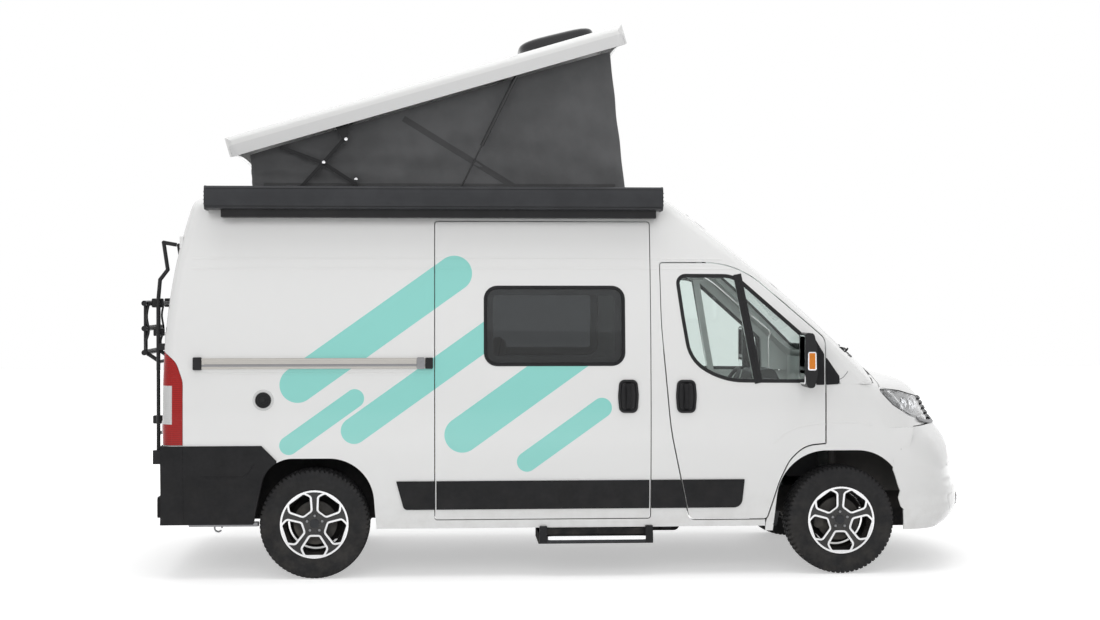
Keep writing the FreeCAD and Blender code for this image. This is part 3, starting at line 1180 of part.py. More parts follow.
# ---- assembly ------------------------------------------------------------------------------------
def build():
    """Every node by name."""
    body = Body()
    door, door_glass, mirror = front_door(body), front_door_glass(body), front_mirror()
    back_door, back_glass = rear_door(body), rear_window(body)
    lamps = tail_lamps(body)
    front = front_regions(body)
    nodes = {
        "floor_pan": floor_pan(),
        "side_panel_right": side_panel(body, True),
        "side_panel_left": mirrored(side_panel(body, False)),
        "roof_panel": roof_panel(body),
        "cab_frame": cab_frame(body),
        "cowl_panel": front["cowl_panel"],
        "front_wings": front["front_wings"],
        "front_bumper": front["front_bumper"],
        "grille": front["grille"],
        "lamps": Part.makeCompound(front["head_lamps"].Solids + [lamps, mirrored(lamps)]),
        "rear_bumper": rear_bumper(body),
        "fixed_glass": fixed_glass(body),
        "sliding_door": sliding_door(body),
        "side_trim": Part.makeCompound(door_rail().Solids + side_mouldings().Solids),
        "awning_case": awning_case(),
        "roof_brackets": roof_brackets(),
        "tent_fabric": tent_fabric(),
        "dashboard": dashboard(),
        "seat_frames": seat_frames(),
        "seats": Part.makeCompound(cab_seats().Solids + bench_seat().Solids),
        "furniture": Part.makeCompound(kitchen_unit().Solids + bed_base().Solids),
        "mattress": mattress(),
        "engine_block": engine_block(),
        "front_subframe": Part.makeCompound(front_subframe().Solids + strut_towers().Solids),
        "rear_axle": rear_axle(),
        "fuel_tank": fuel_tank(),
        "exhaust": exhaust(),
        "front_door_right": door,
        "front_door_left": mirrored(door),
        "front_door_glass_right": door_glass,
        "front_door_glass_left": mirrored(door_glass),
        "mirror_right": mirror,
        "mirror_left": mirrored(mirror),
        "rear_door_right": back_door,
        "rear_door_left": mirrored(back_door),
        "rear_window_right": back_glass,
        "rear_window_left": mirrored(back_glass),
        "bike_carrier": bike_carrier(),
        "bonnet": front["bonnet"],
        "pop_roof": pop_roof(),
        "roof_hatch": roof_hatch(),
        "scissor_arms": scissor_arms(),
        "scissor_links": scissor_links(),
        "strut_tubes": strut_tubes(),
        "strut_rods": strut_rods(),
        "entry_step": entry_step(),
        "knuckle_right": knuckle(),
        "knuckle_left": mirrored(knuckle()),
    }
    for axle, x in (("front", 0.0), ("rear", REAR_AXLE_X)):
        for side, left in (("right", False), ("left", True)):
            nodes[f"tyre_{axle}_{side}"] = wheel(tyre(), x, left)
            nodes[f"rim_{axle}_{side}"] = wheel(rim(), x, left)
    return nodes


def write(nodes):
    """Shift every node to the van's own origin and write it."""
    os.makedirs("parts", exist_ok=True)
    for name, shape in nodes.items():
        moved = shape.copy()
        moved.translate(Vector(-ORIGIN_X, 0, 0))
        moved.exportStep(f"parts/{name}.step")


if __name__ == "__main__":
    write(build())
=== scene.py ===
# %% [markdown]
# # A camper van with its pop-up roof open
# The van comes from the CAD model as named parts on named bodies. This file adds what a drawing
# leaves out: paint, rubber, glass, cloth, tread, seals, handles and lamps. Every part of the CAD
# model stays where it is, and the new pieces are placed on it.

# %% Load the packed parts as a fixed frame
import json
import math

import bpy
import numpy as np
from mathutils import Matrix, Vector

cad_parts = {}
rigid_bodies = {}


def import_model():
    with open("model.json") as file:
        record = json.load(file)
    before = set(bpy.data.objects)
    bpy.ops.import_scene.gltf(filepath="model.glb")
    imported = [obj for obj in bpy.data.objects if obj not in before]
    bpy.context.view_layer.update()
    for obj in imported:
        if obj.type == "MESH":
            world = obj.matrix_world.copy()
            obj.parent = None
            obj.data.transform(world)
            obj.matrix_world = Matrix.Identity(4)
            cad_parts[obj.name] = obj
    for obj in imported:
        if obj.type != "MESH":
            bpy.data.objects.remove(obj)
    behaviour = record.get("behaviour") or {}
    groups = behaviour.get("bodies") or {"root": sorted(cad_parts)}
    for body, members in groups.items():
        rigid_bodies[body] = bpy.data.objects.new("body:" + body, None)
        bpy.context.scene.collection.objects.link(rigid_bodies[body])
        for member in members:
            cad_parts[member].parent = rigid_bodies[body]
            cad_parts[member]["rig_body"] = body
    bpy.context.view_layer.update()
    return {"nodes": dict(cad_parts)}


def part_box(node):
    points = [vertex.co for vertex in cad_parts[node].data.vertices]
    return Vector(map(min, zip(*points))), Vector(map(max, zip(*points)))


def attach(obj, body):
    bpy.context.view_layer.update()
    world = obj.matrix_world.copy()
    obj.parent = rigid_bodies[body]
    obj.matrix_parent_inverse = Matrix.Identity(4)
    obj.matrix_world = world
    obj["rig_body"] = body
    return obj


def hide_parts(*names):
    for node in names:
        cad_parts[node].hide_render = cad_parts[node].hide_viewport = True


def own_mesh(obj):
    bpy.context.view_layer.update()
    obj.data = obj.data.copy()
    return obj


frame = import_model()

# %% [markdown]
# ## Where things are
# The van was drawn from its front axle, so the pieces here are given as distances from that axle,
# in metres, and moved by one number. The side of a van is not flat: below the waist it curves in on
# one arc and above the waist on another. Two lines of arithmetic give the half width at any height,
# and everything glued to the side uses them.

# %% The front axle, and the shape of the side
AXLE_X = (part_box("rim_front_right")[0].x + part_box("rim_front_right")[1].x) / 2
REAR_AXLE_X = (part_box("rim_rear_right")[0].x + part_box("rim_rear_right")[1].x) / 2
HALF_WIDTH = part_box("side_panel_left")[1].y
WAIST_Z, LOWER_R, UPPER_R = 0.95, 5.6, 8.3


def half_width(z):
    """Half the width of the body: an arc of 5.6 m below the waist and one of 8.3 m above it."""
    radius = np.where(z < WAIST_Z, LOWER_R, UPPER_R)
    return HALF_WIDTH - radius + np.sqrt(radius ** 2 - (z - WAIST_Z) ** 2)


WHEELS = ("front_right", "front_left", "rear_right", "rear_left")
SIDES = ((-1, "right"), (1, "left"))
print("front axle at", round(AXLE_X, 4), "rear axle at", round(REAR_AXLE_X, 4))
print("half width", round(HALF_WIDTH, 4))

# %% [markdown]
# ## Surfaces from arrays
# A surface is a table of points, rows by columns. Neighbouring points make four-sided faces, and a
# row or column may join up with the first one, as it does round a tyre. Working on whole arrays is
# quick and keeps the formula in sight.


# %% Faces for a grid of points
def sheet_of(points, round_rows=False, round_columns=False, cap_rows=False):
    """Vertices and faces of a grid: faces join each point with its next row and column, and a cap
    closes the first and the last row with a fan about its mean."""
    rows, columns = points.shape[:2]
    index = np.arange(rows * columns).reshape(rows, columns)
    r = index if round_rows else index[:-1]
    r_next = np.roll(index, -1, 0) if round_rows else index[1:]
    if round_columns:
        a, b, c, d = r, r_next, np.roll(r_next, -1, 1), np.roll(r, -1, 1)
    else:
        a, b, c, d = r[:, :-1], r_next[:, :-1], r_next[:, 1:], r[:, 1:]
    faces = np.stack([a, b, c, d], -1).reshape(-1, 4)
    vertices = points.reshape(-1, 3)
    if cap_rows:
        count = len(vertices)
        vertices = np.concatenate([vertices, points[:1].mean(1), points[-1:].mean(1)])
        first, last = index[0], index[-1]
        start, end = np.full(columns, count), np.full(columns, count + 1)
        fan = np.stack([start, first, np.roll(first, -1), start], -1)
        fan_last = np.stack([end, np.roll(last, -1), last, end], -1)
        faces = np.concatenate([faces, fan, fan_last])
    return vertices, faces


print("a grid of 3 by 4 points has", len(sheet_of(np.zeros((3, 4, 3)))[1]), "faces")


# %% Round bars and smooth paths
def tube(path, radius, sides=16):
    """A round bar: at each point of the path a circle stands across the path's direction."""
    path = np.asarray(path, float)
    ahead = np.gradient(path, axis=0)
    ahead /= np.linalg.norm(ahead, axis=1, keepdims=True)
    guide = np.where(np.abs(ahead[:, 2:3]) > 0.9, ((0.0, 1.0, 0.0),), ((0.0, 0.0, 1.0),))
    across = np.cross(ahead, guide)
    across /= np.linalg.norm(across, axis=1, keepdims=True)
    up = np.cross(across, ahead)
    angle = np.linspace(0, 2 * np.pi, sides, endpoint=False)
    radius = np.broadcast_to(np.asarray(radius, float), (len(path),))[:, None, None]
    angle = angle[None, :, None]
    ring = np.cos(angle) * across[:, None] + np.sin(angle) * up[:, None]
    return sheet_of(path[:, None] + radius * ring, round_columns=True, cap_rows=True)


def along(*points, steps=12):
    """A smooth path through points: each stretch is a cubic whose slopes come from its neighbours."""
    points = np.asarray(points, float)
    slope = np.gradient(points, axis=0)
    t = np.linspace(0, 1, steps, endpoint=False)[None, :, None]
    p, q, u, v = points[:-1, None], points[1:, None], slope[:-1, None], slope[1:, None]
    curve = (2 * t**3 - 3 * t**2 + 1) * p + (t**3 - 2 * t**2 + t) * u
    curve = curve + (3 * t**2 - 2 * t**3) * q + (t**3 - t**2) * v
    return np.concatenate([curve.reshape(-1, 3), points[-1:]])


def line(start, end, count=24):
    """Even points from one point to another."""
    return np.linspace(start, end, count)


def curve(points, count=60):
    """A smooth line through points (a, b), at even steps."""
    flat = along(*[(a, b, 0.0) for a, b in points])[:, :2]
    length = np.concatenate([[0], np.cumsum(np.linalg.norm(np.diff(flat, axis=0), axis=1))])
    at = np.linspace(0, length[-1], count)
    return np.stack([np.interp(at, length, flat[:, k]) for k in (0, 1)], -1)


print("a bar of two points has", len(tube([(0, 0, 0), (1, 0, 0)], 0.1)[0]), "corners")


# %% Outlines
def rounded(corners, steps=8):
    """A closed outline (n, 2) through corners (a, b, radius), each rounded by an arc."""
    points = []
    for i, (a, b, radius) in enumerate(corners):
        here = np.array([a, b])
        to_last = np.array(corners[i - 1][:2]) - here
        to_next = np.array(corners[(i + 1) % len(corners)][:2]) - here
        last_length, next_length = np.linalg.norm(to_last), np.linalg.norm(to_next)
        to_last, to_next = to_last / last_length, to_next / next_length
        half = math.acos(np.clip(to_last @ to_next, -1, 1)) / 2
        reach = min(max(radius, 1e-4) / math.tan(half), 0.49 * last_length, 0.49 * next_length)
        radius = reach * math.tan(half)
        middle = here + (to_last + to_next) / np.linalg.norm(to_last + to_next) * radius / math.sin(half)
        start, end = here + to_last * reach - middle, here + to_next * reach - middle
        turn = math.atan2(start[0] * end[1] - start[1] * end[0], start @ end)
        angle = turn * np.linspace(0, 1, steps)[:, None]
        points.append(middle + start * np.cos(angle) + np.array([[-start[1], start[0]]]) * np.sin(angle))
    return np.concatenate(points)


def evenly(outline, count):
    """The same closed outline, with count points at even steps along it."""
    closed = np.concatenate([outline, outline[:1]])
    length = np.concatenate([[0], np.cumsum(np.linalg.norm(np.diff(closed, axis=0), axis=1))])
    at = np.linspace(0, length[-1], count, endpoint=False)
    return np.stack([np.interp(at, length, closed[:, k]) for k in (0, 1)], -1)


def rectangle(a_start, a_end, b_start, b_end, radius, count):
    """A rectangle with round corners, from (a_start, b_start) first along a and then along b."""
    corners = ((a_start, b_start), (a_end, b_start), (a_end, b_end), (a_start, b_end))
    return evenly(rounded([(a, b, radius) for a, b in corners]), count)


def grown(outline, distance):
    """An outline moved outwards by a distance, along the mean of its two edges' normals."""
    before, after = outline - np.roll(outline, 1, 0), np.roll(outline, -1, 0) - outline
    edge = before / np.maximum(np.linalg.norm(before, axis=1, keepdims=True), 1e-9)
    edge = edge + after / np.maximum(np.linalg.norm(after, axis=1, keepdims=True), 1e-9)
    normal = np.stack([edge[:, 1], -edge[:, 0]], -1)
    normal /= np.maximum(np.linalg.norm(normal, axis=1, keepdims=True), 1e-9)
    x, y = outline[:, 0], outline[:, 1]
    area = (x * np.roll(y, -1) - np.roll(x, -1) * y).sum()
    return outline + normal * distance * (1 if area > 0 else -1)


print("a rectangle has", len(rectangle(0, 2, 1, 0, 0.1, 40)), "points at even steps")


# %% Mouldings, and places on the side of the body
def moulding(outline, profile, place):
    """A strip that runs round an outline: each profile point (out, high) is the outline moved
    outwards by out and lifted off the surface by high. place turns (a, b, high) into a point."""
    rows = np.stack([place(*grown(outline, out).T, high) for out, high in profile])
    return sheet_of(rows, round_columns=True, round_rows=True)


def on_side(side):
    """Places (x, z, high) on the side of the body: -1 is the right-hand side and 1 the left."""
    def place(x, z, high):
        return np.stack([x + AXLE_X, side * (half_width(z) + high), z + 0 * x], -1)
    return place


RIGHT, LEFT = on_side(-1), on_side(1)
waist = RIGHT(np.array(0.0), np.array(WAIST_Z), 0.0)
print("the right side at the waist, above the front axle, is at", waist.round(3))

# %% [markdown]
# ## From arrays to pieces
# A piece is one mesh with one finish that rides on one body of the van. Its faces are turned to
# point outwards, and its smooth faces stay smooth except across a sharp edge.


# %% Make a piece
def piece(name, parts, coat, body="root", replaces=None, sharp=35, turn=True):
    """One object from several (vertices, faces) parts, riding on a body."""
    counts = np.cumsum([0] + [len(v) for v, _ in parts])
    vertices = np.concatenate([v for v, _ in parts])
    faces = []
    for start, (_, quads) in zip(counts, parts):
        quads = quads + start
        triangle = quads[:, 0] == quads[:, -1]
        faces += quads[~triangle].tolist() + quads[triangle][:, :3].tolist()
    mesh = bpy.data.meshes.new(name)
    mesh.from_pydata(vertices.tolist(), [], faces)
    obj = bpy.data.objects.new(name, mesh)
    bpy.context.scene.collection.objects.link(obj)
    if turn:
        bpy.context.view_layer.objects.active = obj
        bpy.ops.object.mode_set(mode="EDIT")
        bpy.ops.mesh.select_all(action="SELECT")
        bpy.ops.mesh.normals_make_consistent(inside=False)
        bpy.ops.object.mode_set(mode="OBJECT")
    mesh.polygons.foreach_set("use_smooth", np.ones(len(mesh.polygons), bool))
    mesh.set_sharp_from_angle(angle=math.radians(sharp))
    mesh.materials.append(coat)
    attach(obj, body)
    if replaces:
        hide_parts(replaces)
    return obj


# %% Copy a CAD node, or a part of it
MERGE_WITHIN = 2e-6


def cad_arrays(node, keep=None):
    """A CAD node's corners, merged where they meet, and its triangles whose middle passes keep.
    Triangles that the merge leaves with two corners are dropped."""
    mesh = frame["nodes"][node].data
    corners = np.empty(len(mesh.vertices) * 3)
    mesh.vertices.foreach_get("co", corners)
    corners = corners.reshape(-1, 3)
    mesh.calc_loop_triangles()
    triangles = np.empty(len(mesh.loop_triangles) * 3, int)
    mesh.loop_triangles.foreach_get("vertices", triangles)
    whole = np.round(corners / MERGE_WITHIN)
    first, same = np.unique(whole, axis=0, return_index=True, return_inverse=True)[1:]
    triangles = same.reshape(-1)[triangles].reshape(-1, 3)
    corners = corners[first]
    flat = (triangles == np.roll(triangles, 1, 1)).any(1)
    triangles = triangles[~flat]
    if keep is not None:
        triangles = triangles[keep(corners[triangles].mean(1))]
        used, inverse = np.unique(triangles, return_inverse=True)
        corners, triangles = corners[used], inverse.reshape(-1, 3)
    return corners, triangles


def skin(name, node, coat, keep=None, replaces=True):
    """A smooth-shaded copy of a CAD node, or of the part of it that keep picks out."""
    corners, triangles = cad_arrays(node, keep)
    mesh = bpy.data.meshes.new(name)
    mesh.from_pydata(corners.tolist(), [], triangles.tolist())
    mesh.polygons.foreach_set("use_smooth", np.ones(len(mesh.polygons), bool))
    mesh.set_sharp_from_angle(angle=math.radians(28))
    mesh.materials.append(coat)
    obj = bpy.data.objects.new(name, mesh)
    bpy.context.scene.collection.objects.link(obj)
    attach(obj, frame["nodes"][node]["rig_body"])
    if replaces:
        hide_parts(node)
    return obj


print("the grille has", len(cad_arrays("grille")[1]), "triangles")

# %% [markdown]
# ## Finishes
# Each finish is a Principled shader with its own nodes. Effects that several finishes share, such
# as moulded grain, road dust, cloth weave and a pressed line in sheet metal, are node groups: they
# are built once and give out a mask or a height, and the shader itself stays in the finish.


# %% A short way to wire nodes
class Wiring:
    """Adds nodes to one tree; an input takes a number, a colour or another node's output."""

    def __init__(self, tree):
        self.tree = tree

    def put(self, kind, inputs=None, **settings):
        node = self.tree.nodes.new("ShaderNode" + kind)
        for name, value in settings.items():
            setattr(node, name, value)
        for name, value in (inputs or {}).items():
            if isinstance(value, bpy.types.NodeSocket):
                self.tree.links.new(value, node.inputs[name])
            else:
                node.inputs[name].default_value = value
        return node

    def math(self, operation, a, b=0.0, c=0.0, clamp=False):
        node = self.put("Math", {0: a, 1: b, 2: c}, operation=operation, use_clamp=clamp)
        return node.outputs[0]

    def step(self, value, low, high, start=0.0, end=1.0):
        """From start to end as the value goes from low to high, with soft ends."""
        inputs = {"Value": value, "From Min": low, "From Max": high, "To Min": start, "To Max": end}
        return self.put("MapRange", inputs, interpolation_type="SMOOTHSTEP").outputs[0]

    def noise(self, vector, scale, detail=2.0, rough=0.5):
        inputs = {"Vector": vector, "Scale": scale, "Detail": detail, "Roughness": rough}
        return self.put("TexNoise", inputs).outputs[0]

    def blend(self, share, first, second):
        node = self.put("Mix", {0: share}, data_type="RGBA")
        for socket, value in ((node.inputs[6], first), (node.inputs[7], second)):
            if isinstance(value, bpy.types.NodeSocket):
                self.tree.links.new(value, socket)
            else:
                socket.default_value = value
        return node.outputs[2]

    def apart(self, vector):
        return self.put("SeparateXYZ", {0: vector}).outputs

    def bump(self, height, distance, strength=1.0, normal=None):
        inputs = {"Height": height, "Distance": distance, "Strength": strength}
        if normal is not None:
            inputs["Normal"] = normal
        return self.put("Bump", inputs).outputs[0]


print("ways to wire:", [name for name in vars(Wiring) if not name.startswith("_")])


# %% Node groups that finishes share
def shared_effect(name, inputs, output, make):
    """A node group with named number or vector inputs and one output, wired by make."""
    tree = bpy.data.node_groups.new(name, "ShaderNodeTree")
    for label, value in inputs.items():
        kind = "NodeSocketVector" if value is None else "NodeSocketFloat"
        socket = tree.interface.new_socket(label, in_out="INPUT", socket_type=kind)
        if value is not None:
            socket.default_value = value
    tree.interface.new_socket(output, in_out="OUTPUT", socket_type="NodeSocketFloat")
    start, end = tree.nodes.new("NodeGroupInput"), tree.nodes.new("NodeGroupOutput")
    tree.links.new(make(Wiring(tree), start.outputs), end.inputs[0])
    return tree


def use(wiring, effect, **inputs):
    """Places a shared effect in a finish with its own values."""
    node = wiring.tree.nodes.new("ShaderNodeGroup")
    node.node_tree = effect
    for label, value in inputs.items():
        socket = node.inputs[label.replace("_", " ")]
        if isinstance(value, bpy.types.NodeSocket):
            wiring.tree.links.new(value, socket)
        else:
            socket.default_value = value
    return node.outputs[0]


print("node groups so far:", len(bpy.data.node_groups))

# %% [markdown]
# ## Shared effects
# - Moulded grain: cells of noise, as the tool of a plastic part leaves them.
# - Road dust: more of it near the ground, in patches.
# - Weave: two sets of threads that pass over and under.
# - Pressed line: a narrow ridge at one height between two ends, as a press leaves it.
# - Vinyl bar: a straight strip with round ends, for the decoration on the sides.

# %% Build the shared effects
def make_grain(w, given):
    inputs = {"Vector": given["Vector"], "Scale": given["Scale"]}
    cells = w.put("TexVoronoi", inputs, feature="SMOOTH_F1").outputs[0]
    return w.math("ADD", cells, w.math("MULTIPLY", w.noise(given["Vector"], given["Scale"], 3.0), 0.6))


def make_dust(w, given):
    height = w.apart(given["Vector"])["Z"]
    low = w.step(height, given["Clean above"], 0.0)
    patches = w.step(w.noise(given["Vector"], 9.0, 5.0, 0.6), 0.35, 0.7)
    return w.math("MULTIPLY", low, patches)


def make_weave(w, given):
    x, y, z = w.apart(given["Vector"])
    rate = w.math("MULTIPLY", given["Threads"], 2 * math.pi)
    warp = w.math("SINE", w.math("MULTIPLY", w.math("ADD", x, y), rate))
    weft = w.math("SINE", w.math("MULTIPLY", w.math("ADD", z, w.math("MULTIPLY", y, 0.5)), rate))
    return w.math("MULTIPLY_ADD", w.math("MULTIPLY", warp, weft), 0.5, 0.5)


def make_line(w, given):
    x, y, z = w.apart(given["Vector"])
    off = w.math("ABSOLUTE", w.math("SUBTRACT", z, given["Level"]))
    ridge = w.step(off, given["Width"], 0.0)
    begin = w.step(x, w.math("SUBTRACT", given["Start"], 0.03), given["Start"])
    stop = w.step(x, w.math("ADD", given["End"], 0.03), given["End"])
    return w.math("MULTIPLY", ridge, w.math("MULTIPLY", begin, stop))


def make_bar(w, given):
    x, y, z = w.apart(given["Vector"])
    dx, dz = w.math("SUBTRACT", x, given["X"]), w.math("SUBTRACT", z, given["Z"])
    c, s = w.math("COSINE", given["Slope"]), w.math("SINE", given["Slope"])
    ahead = w.math("ADD", w.math("MULTIPLY", dx, c), w.math("MULTIPLY", dz, s))
    across = w.math("SUBTRACT", w.math("MULTIPLY", dz, c), w.math("MULTIPLY", dx, s))
    past = w.math("MAXIMUM", w.math("SUBTRACT", w.math("ABSOLUTE", ahead), given["Half length"]), 0.0)
    gap = w.math("SQRT", w.math("ADD", w.math("POWER", past, 2.0), w.math("POWER", across, 2.0)))
    return w.step(gap, w.math("ADD", given["Half width"], 0.0015), given["Half width"])


GRAIN = shared_effect("Moulded grain", {"Vector": None, "Scale": 900.0}, "Height", make_grain)
DUST = shared_effect("Road dust", {"Vector": None, "Clean above": 0.9}, "Mask", make_dust)
WEAVE = shared_effect("Plain weave", {"Vector": None, "Threads": 500.0}, "Height", make_weave)
LINE = shared_effect("Pressed line", {"Vector": None, "Level": 2.0, "Start": -2.0, "End": 1.0, "Width": 0.02},
                     "Height", make_line)
BAR = shared_effect("Vinyl bar", {"Vector": None, "X": 0.0, "Z": 1.5, "Slope": 0.6, "Half length": 0.5,
                                  "Half width": 0.06}, "Mask", make_bar)
print("shared effects:", [g.name for g in bpy.data.node_groups])

# %% A finish with plain values, ready for its nodes
DUSTY = (0.30, 0.27, 0.23, 1.0)


def finish(name, colour, **values):
    """A Principled shader with plain values. It returns the material, its wiring, the shader and the
    Object coordinates."""
    material = bpy.data.materials.new(name)
    material.use_nodes = True
    shader = material.node_tree.nodes["Principled BSDF"]
    shader.inputs["Base Color"].default_value = (*colour, 1.0)
    for label, value in values.items():
        shader.inputs[label.replace("_", " ")].default_value = value
    wiring = Wiring(material.node_tree)
    return material, wiring, shader, wiring.put("TexCoord").outputs["Object"]


def wire(wiring, shader, **links):
    """Links outputs to the shader's sockets, by their names with _ for a space."""
    for label, output in links.items():
        wiring.tree.links.new(output, shader.inputs[label.replace("_", " ")])


def moulded(name, colour, roughness, grain=900.0, depth=0.00025, dust=0.0, shine=0.25):
    """Moulded plastic: a grained surface whose gloss varies a little, with dust low down."""
    material, w, shader, here = finish(name, colour, Roughness=roughness, Specular_IOR_Level=shine)
    patches = w.noise(here, 6.0, 4.0)
    lighter = (*[c * 1.18 + 0.002 for c in colour], 1.0)
    tone = w.blend(w.step(patches, 0.3, 0.7), (*colour, 1.0), lighter)
    if dust:
        tone = w.blend(w.math("MULTIPLY", use(w, DUST, Vector=here), dust), tone, DUSTY)
    gloss = w.step(w.noise(here, 40.0, 3.0), 0.3, 0.7, roughness - 0.05, roughness + 0.07)
    cells = use(w, GRAIN, Vector=here, Scale=grain)
    wire(w, shader, Base_Color=tone, Roughness=gloss, Normal=w.bump(cells, depth))
    return material


def brushed(name, colour, roughness, stretch=(3.0, 300.0, 300.0), depth=0.00006):
    """Metal with fine marks in one direction: noise stretched along it drives gloss and bump."""
    material, w, shader, here = finish(name, colour, Metallic=1.0, Roughness=roughness)
    stretched = w.put("Mapping", {"Vector": here, "Scale": stretch}).outputs[0]
    marks = w.noise(stretched, 3.0, 4.0, 0.6)
    tone = w.blend(w.step(marks, 0.3, 0.7), (*[c * 0.86 for c in colour], 1.0), (*colour, 1.0))
    gloss = w.step(marks, 0.25, 0.75, roughness - 0.06, roughness + 0.1)
    wire(w, shader, Base_Color=tone, Roughness=gloss, Normal=w.bump(marks, depth))
    return material


print("dust is", DUSTY)

# %% [markdown]
# ## Body paint
# White paint over pressed steel. The clear coat is its own mirror-like layer, and under it the
# colour has a very fine orange peel. The pressed lines are only a few millimetres deep, so they are
# a bump on the paint and not more geometry. The decoration is vinyl, cut in plain bars, and only
# covers faces that look sideways, so door edges and inner walls stay white. The lid is a moulding
# of a greyer white with painted light and shade: its rim wall is painted darker and its top lighter.
# It is measured along its own tilted floor.

# %% White paint with pressed lines and vinyl bars
TURQUOISE = (0.245, 0.66, 0.60, 1.0)
WHITE = (0.80, 0.80, 0.795)
VINYL_BARS = (  # x from the front axle, height, slope, half length, half width
    (-3.05, 1.62, 0.62, 0.62, 0.115),
    (-2.72, 1.30, 0.62, 0.58, 0.085),
    (-2.12, 1.20, 0.62, 0.46, 0.115),
    (-1.83, 0.93, 0.62, 0.30, 0.065),
    (-3.40, 1.02, 0.62, 0.26, 0.060),
)
PRESSED = (  # height, start and end from the front axle, width
    (2.075, -4.22, -0.80, 0.010),
    (2.012, -4.22, -0.72, 0.010),
    (1.335, -4.20, -2.70, 0.008),
)


LID_REAR_X, LID_REAR_Z, TILT = -4.010, 2.735, math.radians(16.4)
LID_RIM = 0.070


def paint(name, vinyl):
    """Body paint with its vinyl and pressed lines, or the lid's gelcoat when vinyl is False, whose rim wall
    is painted darker than its top as painted shade.
    """
    material, w, shader, here = finish(name, WHITE, Roughness=0.32, Coat_Weight=1.0, Coat_Roughness=0.04)
    x, y, z = w.apart(here)
    if vinyl:
        mask = 0.0
        for bar_x, bar_z, slope, half_length, half_bar in VINYL_BARS:
            one = use(w, BAR, Vector=here, X=bar_x + AXLE_X, Z=bar_z, Slope=slope, Half_length=half_length,
                      Half_width=half_bar)
            mask = w.math("MAXIMUM", mask, one)
        facing = w.math("MULTIPLY", w.apart(w.put("NewGeometry").outputs["Normal"])["Y"], y)
        tone = w.blend(w.math("MULTIPLY", mask, w.step(facing, 0.5, 0.75)), (*WHITE, 1.0), TURQUOISE)
    else:
        rear_x = AXLE_X + LID_REAR_X
        up = w.math("SUBTRACT", w.math("MULTIPLY_ADD", z, math.cos(TILT), -LID_REAR_Z * math.cos(TILT)),
                    w.math("MULTIPLY_ADD", x, math.sin(TILT), -rear_x * math.sin(TILT)))
        # The lid's two tones are painted light and shade: painted shade on the rim wall, painted light on the
        # top.
        shaded_rim_wall, lit_lid_top = (0.60, 0.60, 0.60, 1.0), (0.68, 0.68, 0.675, 1.0)
        tone = w.blend(w.step(up, LID_RIM, LID_RIM + 0.008), shaded_rim_wall, lit_lid_top)
    tone = w.blend(w.math("MULTIPLY", use(w, DUST, Vector=here, Clean_above=0.75), 0.22), tone, DUSTY)
    height = w.math("MULTIPLY", w.noise(here, 420.0, 2.0), 0.00002)
    if vinyl:
        for level, start, end, width in PRESSED:
            ridge = use(w, LINE, Vector=here, Level=level, Start=start + AXLE_X, End=end + AXLE_X,
                        Width=width)
            height = w.math("ADD", height, w.math("MULTIPLY", ridge, 0.0016))
    wire(w, shader, Base_Color=tone, Normal=w.bump(height, 1.0))
    return material


PAINT = paint("white_body_paint", True)
LID_PAINT_SHADED = paint("white_lid_gelcoat_painted_shade", False)
print(len(VINYL_BARS), "vinyl bars and", len(PRESSED), "pressed lines")

# %% [markdown]
# ## Glass
# Side and rear panes are dark privacy glass, and the front ones only have a green tint. Each is a
# real pane with two faces. Light from the lamps must get through, so for shadow rays the pane is
# a clear shader instead of glass.


# %% Panes
def pane(name, colour, roughness=0.0):
    """Glass of a colour with a faint film on it, and a clear shader for shadow rays."""
    material, w, shader, here = finish(name, colour, Roughness=roughness, Transmission_Weight=1.0, IOR=1.45)
    film = w.step(w.noise(here, 5.0, 4.0), 0.35, 0.75, roughness, roughness + 0.02)
    wire(w, shader, Roughness=film)
    clear = w.put("BsdfTransparent", {"Color": (*colour, 1.0)}).outputs[0]
    shadow = w.put("LightPath").outputs["Is Shadow Ray"]
    either = w.put("MixShader", {0: shadow, 1: shader.outputs[0], 2: clear})
    w.tree.links.new(either.outputs[0], w.tree.nodes["Material Output"].inputs["Surface"])
    return material


FRONT_GLASS = pane("tinted_front_glass", (0.80, 0.86, 0.84))
PRIVACY_GLASS = pane("privacy_glass", (0.16, 0.17, 0.175))
LAMP_LENS = pane("clear_lamp_lens", (0.96, 0.97, 0.98))
print("panes:", FRONT_GLASS.name, PRIVACY_GLASS.name, LAMP_LENS.name)

# %% [markdown]
# ## Plastics, rubber and metals
# Most of what isn't painted is black plastic, and the blacks differ only in gloss and grain: deep
# grain on the cladding, fine grain on satin trim, almost none on gloss paint. Metals are turned or
# brushed, so their noise is stretched along the marks. Each kind has its own maker, used with other values.

# %% Plastics, rubber, metals
CLADDING = moulded("black_cladding", (0.012, 0.012, 0.013), 0.60, dust=0.04, shine=0.2)
SATIN_BLACK = moulded("satin_black_plastic", (0.012, 0.012, 0.013), 0.33, 1800.0, 0.0001)
SEAL = moulded("rubber_seal", (0.010, 0.010, 0.011), 0.50, 2500.0, 0.0001)
TYRE_RUBBER = moulded("tyre_rubber", (0.016, 0.016, 0.017), 0.72, 1500.0, 0.0002, dust=0.08)
UNDERBODY = moulded("underbody_coat", (0.014, 0.014, 0.015), 0.80, 500.0, 0.0006, dust=0.15, shine=0.15)
LIGHT_PLASTIC = moulded("pale_trim_plastic", (0.42, 0.42, 0.42), 0.5, 1400.0, 0.0001)
DASH_PLASTIC = moulded("dashboard_plastic", (0.030, 0.030, 0.032), 0.6, 1100.0, 0.0003)
ANTHRACITE = moulded("anthracite_powder_coat", (0.030, 0.031, 0.034), 0.38, 2600.0, 0.00006)
BRIGHT_RAIL = brushed("anodised_rail", (0.55, 0.53, 0.50), 0.35)
